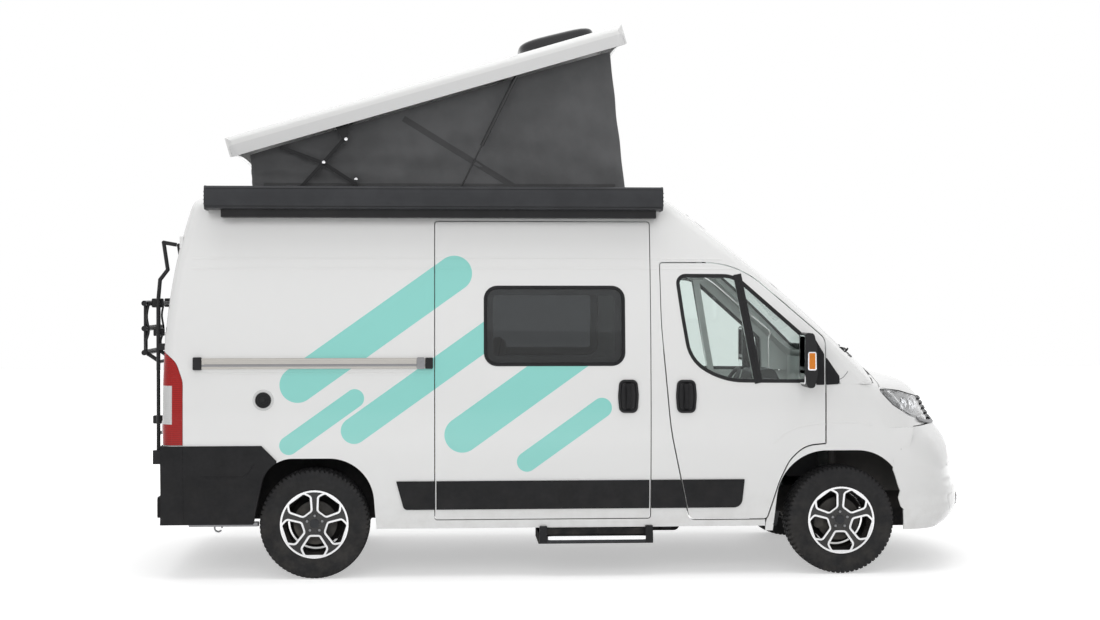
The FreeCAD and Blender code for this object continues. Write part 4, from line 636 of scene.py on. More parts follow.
STEEL = brushed("bare_steel", (0.30, 0.30, 0.31), 0.42)
CAST = moulded("cast_iron", (0.060, 0.058, 0.056), 0.62, 420.0, 0.0008, dust=0.4)
MACHINED = brushed("machined_alloy", (0.86, 0.86, 0.87), 0.22, (200.0, 200.0, 200.0))
GLOSS_BLACK = moulded("gloss_black_wheel_paint", (0.010, 0.010, 0.011), 0.20, 3000.0, 0.00002, dust=0.08,
                      shine=0.5)
MIRROR = brushed("mirror_silver", (0.90, 0.91, 0.92), 0.03, (1.0, 1.0, 1.0), 0.0)
CHROME = brushed("reflector_chrome", (0.88, 0.88, 0.90), 0.10, (40.0, 40.0, 40.0), 0.00002)
print(len(bpy.data.materials), "finishes so far")

# %% [markdown]
# ## Coloured lenses
# A tail lamp is red plastic over a reflector, with a clear part for the reversing lamp. Its ribs
# are lines across the lens, which the bump gives, and painted shade makes each rib's trough darker.


# %% Lenses
REVERSING_X = -2.532


def lens(name, colour, ribs, clear_from=None, clear_to=None):
    """A ribbed lens with painted shade in its rib troughs, clear between two heights on the face that looks
    back.
    """
    material, w, shader, here = finish(name, colour, Roughness=0.25, Specular_IOR_Level=0.2,
                                       Coat_Weight=0.25, Coat_Roughness=0.05)
    x, y, z = w.apart(here)
    wave = w.math("SINE", w.math("MULTIPLY", z, ribs))
    # The darker tone in each rib's trough is painted shade.
    tone = w.blend(w.step(wave, -1.0, 1.0), (*[c * 0.72 for c in colour], 1.0), (*colour, 1.0))
    if clear_from is not None:
        above, below = w.step(z, clear_from - 0.003, clear_from), w.step(z, clear_to + 0.003, clear_to)
        behind = w.step(x, REVERSING_X, REVERSING_X - 0.005)
        inside = w.math("MULTIPLY", w.math("MULTIPLY", above, below), behind)
        tone = w.blend(inside, tone, (0.62, 0.62, 0.62, 1.0))
    wire(w, shader, Base_Color=tone, Normal=w.bump(wave, 0.0006, 0.6))
    return material


RED_LENS = lens("red_tail_lens", (0.40, 0.006, 0.005), 480.0, 1.010, 1.255)
AMBER_LENS = lens("amber_lens", (0.85, 0.26, 0.02), 900.0)
print("lenses:", RED_LENS.name, AMBER_LENS.name)

# %% [markdown]
# ## Cloth and wood
# The tent is a tight, coated weave. Seats are a coarser cloth, and the mattress a pale ticking. The
# furniture is a light wood board, whose rings are stretched noise.


# %% Cloth and board
MOTTLE = 0.14


def cloth(name, colour, threads, depth, sheen=0.3):
    """Woven cloth: threads in the bump, soft patches in the colour and creases under the weave."""
    material, w, shader, here = finish(name, colour, Roughness=0.85, Sheen_Weight=sheen, Sheen_Roughness=0.45)
    weave = use(w, WEAVE, Vector=here, Threads=threads)
    patches = w.noise(here, 3.2, 5.0, 0.55)
    darker, lighter = [(*[c * share for c in colour], 1.0) for share in (1 - MOTTLE, 1 + MOTTLE)]
    tone = w.blend(w.step(patches, 0.3, 0.7), darker, lighter)
    tone = w.blend(w.math("MULTIPLY", weave, 0.35), tone, (*[c * 0.55 for c in colour], 1.0))
    creases = w.math("MULTIPLY", w.noise(here, 16.0, 5.0, 0.62), 0.006)
    wire(w, shader, Base_Color=tone, Normal=w.bump(weave, depth, 0.5, normal=w.bump(creases, 0.35, 0.8)))
    return material


TENT_CLOTH = cloth("grey_tent_cloth", (0.098, 0.099, 0.102), 420.0, 0.0004, 0.2)
BAND_CLOTH = cloth("dark_band_cloth", (0.060, 0.060, 0.062), 420.0, 0.0004, 0.2)
SEAT_CLOTH = cloth("grey_seat_cloth", (0.28, 0.275, 0.265), 260.0, 0.0006)
MATTRESS_CLOTH = cloth("mattress_ticking", (0.62, 0.61, 0.58), 200.0, 0.0008)


def board(name, colour, dark):
    """Wood board: noise stretched along X makes its rings."""
    material, w, shader, here = finish(name, colour, Roughness=0.45)
    stretched = w.put("Mapping", {"Vector": here, "Scale": (1.2, 14.0, 14.0)}).outputs[0]
    rings = w.noise(stretched, 3.0, 6.0, 0.6)
    tone = w.blend(w.step(rings, 0.35, 0.65), (*dark, 1.0), (*colour, 1.0))
    wire(w, shader, Base_Color=tone, Normal=w.bump(rings, 0.0004))
    return material


WOOD = board("light_oak_board", (0.56, 0.42, 0.28), (0.40, 0.28, 0.17))
print(len(bpy.data.materials), "finishes")

# %% [markdown]
# ## The CAD parts in their finishes
# The CAD surfaces are right, but their meshes are loose triangles, so they would shade flat. Each
# is copied, its corners are merged, and it is shaded smooth up to its sharp edges.

# %% Which part of a node is which
STRIP_LOW, STRIP_HIGH = 0.43, 0.66
AWNING_FOOT_TOP = 2.386
ARM_EAR, STRUT_EAR = 0.757, 1.977
EAR_INNER, EAR_OUTER = 0.785, 0.829


def is_strip(p):
    """True for the rubbing strips, which stand a little outside the skin of the doors."""
    level = (p[:, 2] > STRIP_LOW) & (p[:, 2] < STRIP_HIGH)
    return level & (np.abs(p[:, 1]) > half_width(p[:, 2]) + 0.0004) & (p[:, 0] < AXLE_X - 0.6)


def above_rim(p):
    """True for the lid itself, and False for the brackets that hang below its rim: heights and
    lengths are turned by the lid's tilt about its rear corner."""
    x, z = p[:, 0] - AXLE_X - LID_REAR_X, p[:, 2] - LID_REAR_Z
    up, ahead = z * math.cos(TILT) - x * math.sin(TILT), z * math.sin(TILT) + x * math.cos(TILT)
    near = (np.abs(ahead - ARM_EAR) < 0.07) | (np.abs(ahead - STRUT_EAR) < 0.07)
    bracket = near & (np.abs(p[:, 1]) > EAR_INNER) & (np.abs(p[:, 1]) < EAR_OUTER) & (up < LID_RIM + 0.01)
    return (up > 0.0005) & ~bracket


lid_corners, lid_triangles = cad_arrays("pop_roof")
print(int((~above_rim(lid_corners[lid_triangles].mean(1))).sum()), "of the lid's triangles are brackets")

# %% Skins of the body
IN_PAINT = ["side_panel_right", "side_panel_left", "roof_panel", "cab_frame", "front_wings", "sliding_door",
            "front_door_right", "front_door_left", "rear_door_right", "rear_door_left", "bonnet"]
IN_OTHER = {
    "floor_pan": UNDERBODY, "cowl_panel": CLADDING, "grille": SATIN_BLACK, "rear_bumper": CLADDING,
    "roof_brackets": SATIN_BLACK, "dashboard": DASH_PLASTIC, "seat_frames": DASH_PLASTIC, "furniture": WOOD,
    "engine_block": CAST, "front_subframe": CAST, "rear_axle": CAST, "fuel_tank": UNDERBODY, "exhaust": STEEL,
    "mirror_right": SATIN_BLACK, "mirror_left": SATIN_BLACK, "bike_carrier": SATIN_BLACK,
    "scissor_arms": SATIN_BLACK, "scissor_links": SATIN_BLACK, "strut_tubes": GLOSS_BLACK,
    "strut_rods": GLOSS_BLACK, "entry_step": ANTHRACITE, "knuckle_right": CAST, "knuckle_left": CAST,
    "roof_hatch": SATIN_BLACK, "front_door_glass_right": FRONT_GLASS, "front_door_glass_left": FRONT_GLASS,
    "rear_window_right": PRIVACY_GLASS, "rear_window_left": PRIVACY_GLASS,
}
for node in IN_PAINT:
    skin(node + "_skin", node, PAINT, keep=lambda p: ~is_strip(p))
for node in ("sliding_door", "front_door_right", "front_door_left"):
    skin(node + "_strip", node, CLADDING, keep=lambda p: is_strip(p), replaces=False)
skin("awning_foot_skin", "awning_case", SATIN_BLACK, keep=lambda p: p[:, 2] < AWNING_FOOT_TOP)
skin("awning_case_skin", "awning_case", ANTHRACITE, keep=lambda p: p[:, 2] >= AWNING_FOOT_TOP, replaces=False)
for node, coat in IN_OTHER.items():
    skin(node + "_skin", node, coat)
skin("pop_roof_skin", "pop_roof", LID_PAINT_SHADED, keep=above_rim)
skin("lid_brackets", "pop_roof", SATIN_BLACK, keep=lambda p: ~above_rim(p), replaces=False)
for wheel in WHEELS:
    skin("rim_" + wheel + "_skin", "rim_" + wheel, GLOSS_BLACK)
SCREEN_FOOT_X, STRIPS_BELOW_Z = 0.7, 1.0
skin("windscreen", "fixed_glass", FRONT_GLASS, keep=lambda p: p[:, 0] > SCREEN_FOOT_X)
skin("side_panes", "fixed_glass", PRIVACY_GLASS, keep=lambda p: p[:, 0] <= SCREEN_FOOT_X, replaces=False)
skin("tail_lenses", "lamps", RED_LENS, keep=lambda p: p[:, 0] < 0)
skin("head_lenses", "lamps", LAMP_LENS, keep=lambda p: p[:, 0] >= 0, replaces=False)
skin("door_rail", "side_trim", BRIGHT_RAIL, keep=lambda p: p[:, 2] > STRIPS_BELOW_Z)
skin("rubbing_strips", "side_trim", CLADDING, keep=lambda p: p[:, 2] <= STRIPS_BELOW_Z, replaces=False)

# %% [markdown]
# ## More ways to make a surface
# A plate is a filled outline with upright walls, a strip runs along a line, a turned piece goes
# round an axis, and a block is a box with round edges. The first two can lie on the side of
# the body, on the bowed windscreen or round the nose, because it asks a place function where it is.


# %% Plates and strips
def plate(outline, thick, place, rim=0.002, base=-0.003):
    """A filled outline: a wall up to the rim, a small round, and a face in four rings to its middle."""
    rows = [place(*grown(outline, out).T, high) for out, high in
            ((0, base), (0, thick - rim), (-0.3 * rim, thick - 0.3 * rim), (-rim, thick))]
    inner = grown(outline, -rim)
    middle = inner.mean(0)
    rows += [place(*(middle + (inner - middle) * share).T, thick) for share in (0.75, 0.5, 0.25, 0.05)]
    return sheet_of(np.stack(rows), round_columns=True, cap_rows=True)


def strip(path, profile, place):
    """A moulding along an open line (a, b): each profile point (across, high) runs beside the line."""
    path = np.asarray(path, float)
    ahead = np.gradient(path, axis=0)
    ahead /= np.linalg.norm(ahead, axis=1, keepdims=True)
    beside = np.stack([-ahead[:, 1], ahead[:, 0]], -1)
    rows = np.stack([place(*(path + beside * across).T, high) for across, high in profile], 1)
    return sheet_of(rows, round_columns=True, cap_rows=True)


def bar(width, thick, base=-0.003):
    """The profile of a flat bar with small rounds, for strip."""
    w = width / 2
    return ((-w, base), (-w, thick * 0.6), (-w * 0.8, thick), (w * 0.8, thick), (w, thick * 0.6), (w, base))


print("a flat bar's profile has", len(bar(0.02, 0.003)), "points")


# %% Turned pieces and blocks
def turned(profile, centre, out=(0, -1, 0), count=48, ring=False):
    """A turned piece: each (radius, distance along the axis) is swept about the axis."""
    out = np.asarray(out, float) / np.linalg.norm(out)
    a = np.cross(out, (0, 0, 1)) if abs(out[2]) < 0.9 else np.cross(out, (1, 0, 0))
    a /= np.linalg.norm(a)
    b = np.cross(out, a)
    angle = np.linspace(0, 2 * np.pi, count, endpoint=False)[:, None]
    spoke = np.cos(angle) * a + np.sin(angle) * b
    rows = np.stack([np.asarray(centre) + out * distance + spoke * radius for radius, distance in profile])
    return sheet_of(rows, round_columns=True, round_rows=ring, cap_rows=not ring)


def leaning(points, angle, centre):
    """Points turned about the Y axis by an angle and moved to a centre."""
    c, s = math.cos(angle), math.sin(angle)
    x, y, z = np.moveaxis(points, -1, 0)
    return np.stack([x * c + z * s, y, z * c - x * s], -1) + np.asarray(centre)


def soft(value, power):
    """A sine or cosine raised to a small power, which squares its curve."""
    return np.sign(value) * np.abs(value) ** power


def ball_angles(rows, columns):
    """The two angles of a ball's grid: from pole to pole, and round it."""
    up = np.linspace(-0.5, 0.5, rows + 2)[1:-1, None] * np.pi
    return up, np.linspace(-1, 1, columns, endpoint=False)[None, :] * np.pi


def block(centre, size, lean=0.0, power=0.08, rows=24, columns=48):
    """A box with round edges: a ball whose sines and cosines are raised to a small power. It may lean
    about the Y axis."""
    v, u = ball_angles(rows, columns)
    level = soft(np.cos(v), power)
    unit = np.stack([level * soft(np.cos(u), power), level * soft(np.sin(u), power),
                     soft(np.sin(v), power) + 0 * u], -1)
    points = leaning(unit * np.asarray(size) / 2, lean, centre)
    return sheet_of(points, round_columns=True, cap_rows=True)


print("a block has", len(block((0, 0, 0), (1, 1, 1))[0]), "corners")

# %% [markdown]
# ## The windscreen, the nose and the tail
# Pieces at the front lie on a bowed windscreen and a bowed nose with round corners. Their plan
# shapes are known arcs. How far the nose reaches at each height is measured on the CAD model's own
# triangles, so that the lamps' bowls and the grille bars lie on it.


# %% Places on the windscreen and the tail
def at_x(x, y, z):
    """A point given from the front axle."""
    return (x + AXLE_X, y, z)


def foot(place, a, b, high):
    """One point of a place function, for a piece that stands there."""
    return place(np.array(a), np.array(b), high)


SCREEN_Z, SCREEN_X = (0.3, 1.4, 1.9, 2.3, 2.64), (1.458, 0.259, -0.287, -0.788, -1.262)
SCREEN_BOW, SCREEN_SLANT = 2.6, 1.45
TAIL_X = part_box("rear_door_left")[0].x - 0.0027
TAIL_Z, TAIL_LEAN = (0.3, 1.4, 1.9, 2.3, 2.64), (0, 0.012, 0.062, 0.150, 0.262)
TAIL_BOW = 15.0


def on_screen(y, z, high):
    """On the windscreen: (y, z) seen from the front, and how far out of the glass's frame."""
    x = np.interp(z, SCREEN_Z, SCREEN_X) + SCREEN_SLANT * high
    x = x - SCREEN_BOW + np.sqrt(SCREEN_BOW ** 2 - y ** 2)
    return np.stack([x + AXLE_X, y + 0 * x, z + 0 * x], -1)


def on_tail(y, z, high):
    """On the slightly bowed back: (y, z) seen from behind. The doors lean forward as they rise."""
    x = np.interp(z, TAIL_Z, TAIL_LEAN) - high + TAIL_BOW - np.sqrt(TAIL_BOW ** 2 - y ** 2)
    return np.stack([TAIL_X + x, y + 0 * x, z + 0 * x], -1)


print("tail at", round(TAIL_X, 3))

# %% The nose's reach, measured on the CAD model
NOSE_Z = (0.29, 0.42, 0.62, 0.86, 1.0, 1.11, 1.18, 1.225, 1.3, 1.403)
NOSE_BOW = (1.7, 1.7, 1.7, 1.65, 1.56, 1.5, 1.48, 1.47, 1.46, 1.45)
NOSE_CORNER = (0.38, 0.38, 0.365, 0.335, 0.3, 0.28, 0.27, 0.265, 0.262, 0.258)
FRONT_Z = (0.29, 0.38, 0.44, 0.50, 0.59, 0.65, 0.71, 0.77, 0.83, 0.89, 0.95, 1.01, 1.07, 1.13, 1.19,
           1.22, 1.25, 1.28, 1.31, 1.34, 1.40)
LIP_X = 0.95
HALF_BAND = 0.012


def cad_edges(*nodes):
    """Every edge (n, 2, 3) of the triangles of CAD nodes."""
    found = []
    for node in nodes:
        corners, triangles = cad_arrays(node)
        found.append(corners[triangles[:, [0, 1, 1, 2, 2, 0]].reshape(-1, 2)])
    return np.concatenate(found)


def in_band(edges, level):
    """What a band about a level keeps of each edge: its two ends, cut in proportion to the height."""
    start, run = edges[:, 0], edges[:, 1] - edges[:, 0]
    rise = np.where(np.abs(run[:, 2]) < 1e-9, 1e-9, run[:, 2])
    cuts = np.stack([(level + step - start[:, 2]) / rise for step in (-HALF_BAND, HALF_BAND)])
    cuts = np.sort(cuts, 0).clip(0, 1)
    kept = cuts[1] > cuts[0]
    return np.concatenate([(start + run * at[:, None])[kept] for at in cuts])


def reach_of_nose(edges, level):
    """How far ahead of the axle the nose reaches in its middle: the bow's rise is added to each point."""
    near = in_band(edges, level)
    near = near[np.abs(near[:, 1]) < 0.5]
    bow = np.interp(level, NOSE_Z, NOSE_BOW)
    return (near[:, 0] - AXLE_X + bow - np.sqrt(bow ** 2 - near[:, 1] ** 2)).max()


nose_edges = cad_edges("front_bumper", "grille", "bonnet", "lamps", "cowl_panel")
FRONT_X = [LIP_X] + [reach_of_nose(nose_edges, level) for level in FRONT_Z[1:]]
print("the nose reaches", round(max(FRONT_X), 3), "ahead of the axle")


# %% Places on the nose
def on_nose(y, z, high):
    """On the nose: a bow across the front and a round at each corner, tangent to it and to the side."""
    bow, corner = np.interp(z, NOSE_Z, NOSE_BOW), np.interp(z, NOSE_Z, NOSE_CORNER)
    front = np.interp(z, FRONT_Z, FRONT_X)
    across, turn_y = np.abs(y), half_width(z) - corner
    turn_x = front - bow + np.sqrt((bow - corner) ** 2 - turn_y ** 2)
    on_bow = across <= bow * turn_y / (bow - corner)
    bow_lean = np.arcsin(np.clip(across / bow, 0, 1))
    corner_lean = np.arcsin(np.clip((across - turn_y) / corner, 0, 1))
    lean = np.where(on_bow, bow_lean, corner_lean)
    x = np.where(on_bow, front - bow + bow * np.cos(lean), turn_x + corner * np.cos(lean))
    x = x + high * np.cos(lean)
    return np.stack([x + AXLE_X, y + np.sign(y) * high * np.sin(lean), z + 0 * x], -1)


print("the nose at a corner", foot(on_nose, 0.8, 1.0, 0.0).round(3))

# %% [markdown]
# ## Wheels
# The alloy rims are cast and painted black, and a lathe then cuts the paint off the rim's edge and
# off a band round each window. The tyres have shoulder blocks that reach down the sidewall, as
# camper tyres have. A tyre is one surface of revolution: its radius drops by the tread's depth
# wherever the pattern has a groove.

# %% The tyre's section and its grooves
BLOCKS, SAMPLES = 68, 6
TYRE_R, WHEEL_Y, TREAD_HALF = 0.356, 0.888, 0.098
CENTRE_RIB, SHOULDER_R, WALL_R = 0.034, 0.345, 0.318
TREAD_DEPTH, WALL_DEPTH = 0.009, 0.004
side_w = np.array([0.0935, 0.108, 0.1155, 0.1175, 0.1175, 0.1155, 0.1125, 0.1085, 0.104])
side_r = np.array([0.2085, 0.216, 0.232, 0.252, 0.282, 0.306, 0.325, 0.340, 0.3495])
tread_w = np.linspace(TREAD_HALF, -TREAD_HALF, 41)
tread_r = TYRE_R - 0.004 * (np.abs(tread_w) / TREAD_HALF) ** 3
section = np.stack([np.concatenate([side_w, tread_w, -side_w[::-1], [-0.05, 0.05]]),
                    np.concatenate([side_r, tread_r, side_r[::-1], [0.212, 0.212]])], -1)
turn = np.arange(BLOCKS * SAMPLES) / (BLOCKS * SAMPLES)
w_grid, turn_grid = np.meshgrid(section[:, 0], turn, indexing="ij")
r_grid = np.broadcast_to(section[:, 1:2], w_grid.shape)
wander = 0.004 * np.sin(2 * np.pi * turn_grid * BLOCKS)
long_groove = (np.abs(np.abs(w_grid) - CENTRE_RIB - wander) < 0.0045) | (np.abs(w_grid) < 0.0026)
phase = turn_grid * BLOCKS + np.where(np.abs(w_grid) > CENTRE_RIB, 0.0, 0.5) + w_grid * 9
cross_groove = (phase % 1.0) < np.where(np.abs(w_grid) > 0.036, 0.34, 0.20)
groove = np.where((long_groove | cross_groove) & (r_grid > SHOULDER_R), TREAD_DEPTH, 0.0)
groove += np.where(cross_groove & (r_grid > WALL_R) & (r_grid <= SHOULDER_R), WALL_DEPTH, 0.0)
r_cut, w_cut = r_grid - groove, w_grid * (1 - 0.25 * groove / 0.1)
print("a tyre's grid", r_cut.shape)

# %% Tyres on their wheels
for wheel in WHEELS:
    middle_x = AXLE_X if "front" in wheel else REAR_AXLE_X
    angle = 2 * np.pi * turn_grid
    points = np.stack([middle_x + r_cut * np.sin(angle), w_cut + (-WHEEL_Y if "right" in wheel else WHEEL_Y),
                       TYRE_R + r_cut * np.cos(angle)], -1)
    piece("tyre_tread_" + wheel, [sheet_of(points, round_rows=True, round_columns=True)], TYRE_RUBBER,
          frame["nodes"]["tyre_" + wheel]["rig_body"], replaces="tyre_" + wheel, sharp=32)

# %% Bright bands, bolts and caps on the rims
RIM_R, RIM_OUT = (0.0, 0.066, 0.092, 0.190, 0.208), (0.0755, 0.0775, 0.0875, 0.1055, 0.1095)
BAND = ((0.0004, -0.006), (0.0004, 0.0010), (0.0016, 0.0020), (0.0118, 0.0020), (0.0130, 0.0010),
        (0.0130, -0.006))
EDGE_BAND = ((0.2085, 0.104), (0.2085, 0.1158), (0.2100, 0.1170), (0.2200, 0.1172), (0.2215, 0.1155),
             (0.2215, 0.104))
BOLT = ((0.010, 0.056), (0.010, 0.080), (0.0085, 0.0835), (0.005, 0.0835), (0.0045, 0.081))
BOLT_CIRCLE = 0.052
CAP = ((0.030, 0.070), (0.030, 0.0800), (0.0285, 0.0818), (0.024, 0.0826), (0.010, 0.0832))
WINDOW = evenly(rounded(((-0.058, 0.198, 0.014), (0.058, 0.198, 0.014), (0.078, 0.158, 0.016),
                         (0.030, 0.084, 0.016), (-0.030, 0.084, 0.016), (-0.078, 0.158, 0.016))), 84)
for wheel in WHEELS:
    middle_x, side = (AXLE_X if "front" in wheel else REAR_AXLE_X), (-1 if "right" in wheel else 1)
    body = frame["nodes"]["rim_" + wheel]["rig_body"]

    def on_face(a, b, high):
        """On the rim's face, from the wheel's middle."""
        out = np.interp(np.hypot(a, b), RIM_R, RIM_OUT)
        return np.stack([middle_x + a, side * (WHEEL_Y + out + high), TYRE_R + b], -1)

    bands, bolts = [], []
    for step in range(5):
        t = math.radians(72 * step + 36)
        turned_window = WINDOW @ np.array([[math.cos(t), -math.sin(t)], [math.sin(t), math.cos(t)]])
        bands.append(moulding(turned_window, BAND, on_face))
        t = math.radians(72 * step)
        centre = (middle_x + BOLT_CIRCLE * math.sin(t), side * WHEEL_Y, TYRE_R + BOLT_CIRCLE * math.cos(t))
        bolts.append(turned(BOLT, centre, (0, side, 0), 6))
    hub = (middle_x, side * WHEEL_Y, TYRE_R)
    bands.append(turned(EDGE_BAND, hub, (0, side, 0), 96, ring=True))
    piece("rim_bands_" + wheel, bands, MACHINED, body, sharp=40)
    piece("wheel_bolts_" + wheel, bolts, STEEL, body, sharp=20)
    piece("hub_cap_" + wheel, [turned(CAP, hub, (0, side, 0))], ANTHRACITE, body)

# %% [markdown]
# ## Windows, seals and the quarter bar
# The acrylic side windows sit in a broad rubber frame, and a pale blind frame stands behind them.
# The front door glass runs in a black seal, and a black double bar parts the fixed quarter light
# from the glass that winds down. In front of it a black corner panel carries on to the wing.

# %% Seals and frames
SLIDING_WINDOW = rectangle(-2.353, -1.432, 1.899, 1.378, 0.085, 160)
REAR_SIDE_WINDOW = rectangle(-3.990, -3.140, 1.899, 1.378, 0.085, 160)
FRONT_WINDOW = ((-1.100, 1.978, 0.060), (-0.702, 1.976, 0.210), (-0.172, 1.510, 0.045),
                (-0.158, 1.262, 0.035), (-0.780, 1.268, 0.700), (-1.012, 1.400, 0.260),
                (-1.062, 1.700, 1.200))
RUBBER = ((-0.021, -0.010), (-0.020, -0.001), (-0.016, 0.003), (-0.005, 0.0042), (0.001, 0.0025),
          (0.002, -0.003))
DOOR_SEAL = ((-0.024, -0.010), (-0.023, -0.002), (-0.019, 0.002), (-0.002, 0.003), (0.001, 0.0015),
             (0.001, -0.003))
BLIND_FRAME = ((-0.062, -0.060), (-0.060, -0.052), (-0.040, -0.048), (-0.012, -0.048), (-0.010, -0.060))
for name, edge, place in (("sliding_window", SLIDING_WINDOW, RIGHT), ("left_window", SLIDING_WINDOW, LEFT),
                          ("left_rear_window", REAR_SIDE_WINDOW, LEFT)):
    piece(name + "_rubber", [moulding(edge, RUBBER, place)], SEAL)
    piece(name + "_blind_frame", [moulding(edge, BLIND_FRAME, place)], LIGHT_PLASTIC)

# %% Back windows, and the front doors' seals and bars
REAR_WINDOW = ((0.095, 1.930, 0.07), (0.690, 1.930, 0.07), (0.740, 1.380, 0.08), (0.095, 1.380, 0.07))
for side, word in SIDES:
    edge = evenly(rounded([(side * a, b, r) for a, b, r in REAR_WINDOW]), 140)
    piece("rear_window_rubber_" + word, [moulding(edge, RUBBER, on_tail)], SEAL, "rear_door_" + word)
    door, place = "front_door_" + word, on_side(side)
    seal = moulding(evenly(rounded(FRONT_WINDOW), 200), DOOR_SEAL, place)
    post = line((-0.553, 1.262), (-0.687, 1.976), 40)
    bars = [strip(post + shift, bar(width, thick, base), place) for shift, width, thick, base in
            ((0.0, 0.053, 0.0015, -0.012), ((-0.015, -0.003), 0.021, 0.0055, -0.004),
             ((0.015, 0.003), 0.019, 0.0045, -0.004))]
    piece("quarter_bar_" + word, [seal] + bars, SATIN_BLACK, door)
    corner = rounded(((-0.212, 1.548, 0.006), (-0.190, 1.574, 0.006), (-0.118, 1.452, 0.004),
                      (-0.118, 1.249, 0.004), (-0.172, 1.249, 0.004)), 4)
    piece("door_corner_panel_" + word, [plate(evenly(corner, 80), 0.005, place)], CLADDING, door)
    corner = rounded(((-0.107, 1.436, 0.004), (-0.018, 1.306, 0.012), (-0.016, 1.254, 0.012),
                      (-0.107, 1.249, 0.004)), 4)
    piece("wing_corner_panel_" + word, [plate(evenly(corner, 60), 0.005, place)], CLADDING)

# %% The windscreen's black band and seal
SCREEN_BAND = ((-0.050, -0.0086), (-0.050, -0.0078), (0.005, -0.0078), (0.005, -0.0086))
SCREEN_SEAL = ((-0.008, -0.008), (-0.006, 0.001), (0.004, 0.0015), (0.006, -0.002))
screen = evenly(rounded(((-0.868, 1.425, 0.06), (0.868, 1.425, 0.06), (0.735, 2.385, 0.13),
                         (-0.735, 2.385, 0.13))), 240)
piece("windscreen_band", [moulding(screen, SCREEN_BAND, on_screen)], SATIN_BLACK)
piece("windscreen_seal", [moulding(screen, SCREEN_SEAL, on_screen)], SEAL)
print("windscreen outline", len(screen), "points")

# %% [markdown]
# ## Front end
# The bumper is one moulding that wraps the nose from arch to arch, with a soft step at half height.
# It is drawn here again as one surface, because its step is finer than the CAD model's. Its edge at
# the arch is measured on the CAD bumper, and laps over it a little where the edge turns. The intake,
# a blank plate and the grille bars follow the same bowed nose.

# %% The bumper's profile and its edge at the arch
BUMPER_Z = (0.290, 0.327, 0.360, 0.400, 0.430, 0.500, 0.560, 0.600, 0.620, 0.680, 0.726, 0.800, 0.860,
            0.900, 0.966)
BUMPER_X = (0.900, 0.950, 0.975, 0.990, 0.995, 0.992, 0.988, 0.978, 0.972, 0.966, 0.957, 0.937, 0.908,
            0.882, 0.830)
EDGE_Z = np.linspace(0.290, 0.966, 30)
LAP, LAP_Z, LAP_SPREAD = 0.021, 0.595, 0.080
SIDE_X, BLEND = 0.45, 0.3
WALL, FLANK = 0.018, 0.16
bumper_edges = cad_edges("front_bumper")
arch_edge = [in_band(bumper_edges, level)[:, 0].min() - AXLE_X for level in EDGE_Z]
EDGE_X = arch_edge - LAP * np.exp(-((EDGE_Z - LAP_Z) / LAP_SPREAD) ** 2)
print("the bumper ends", EDGE_X.min().round(3), "to", EDGE_X.max().round(3), "ahead of the axle")


def on_bumper(y, z, high):
    """On the new bumper: the nose's plan shape, pushed out to the bumper's own profile."""
    point = on_nose(y, z, high)
    middle = np.interp(z, FRONT_Z, FRONT_X)
    share = np.clip((point[..., 0] - AXLE_X - SIDE_X) / BLEND, 0, 1)
    point[..., 0] += share * (np.interp(z, BUMPER_Z, BUMPER_X) - middle)
    return point


# %% Bumper moulding
levels = np.concatenate([np.linspace(0.290, 0.540, 22), np.linspace(0.545, 0.966, 40)])
share = np.concatenate([np.linspace(0, FLANK, 10)[:-1], np.linspace(FLANK, 1, 56)])
share = np.concatenate([share, 2 - share[-2::-1]])[:, None]
t = np.minimum(share, 2 - share)
bow, corner = np.interp(levels, NOSE_Z, NOSE_BOW), np.interp(levels, NOSE_Z, NOSE_CORNER)
front, flank_y = np.interp(levels, FRONT_Z, FRONT_X), half_width(levels) - corner
turn_x = front - bow + np.sqrt((bow - corner) ** 2 - flank_y ** 2)
limit = np.arcsin(flank_y / (bow - corner))
round_corner = np.pi / 2 + (limit - np.pi / 2) * (t - FLANK) / (0.5 - FLANK)
lean = np.where(t < FLANK, np.pi / 2, np.where(t < 0.5, round_corner, limit * (1 - t) / 0.5))
x = np.where(t < 0.5, turn_x + corner * np.cos(lean), front - bow + bow * np.cos(lean))
y = np.where(t < 0.5, flank_y + corner * np.sin(lean), bow * np.sin(lean))
x = x + np.clip((x - SIDE_X) / BLEND, 0, 1) * (np.interp(levels, BUMPER_Z, BUMPER_X) - front)
edge = np.interp(levels, EDGE_Z, EDGE_X)
x = np.where(t < FLANK, edge + (x - edge) * t / FLANK, x)
halves = []
for inset in (0.0, WALL):
    inner_x, inner_y = x - inset * np.cos(lean), y - inset * np.sin(lean)
    halves.append(np.stack([inner_x + AXLE_X, np.where(share < 1, -inner_y, inner_y), levels + 0 * x], -1))
ring = np.concatenate([halves[0], halves[1][:, ::-1]], 1)
piece("bumper_moulding", [sheet_of(ring, round_columns=True, cap_rows=True)], PAINT, replaces="front_bumper",
      sharp=50)
print("bumper", ring.shape)

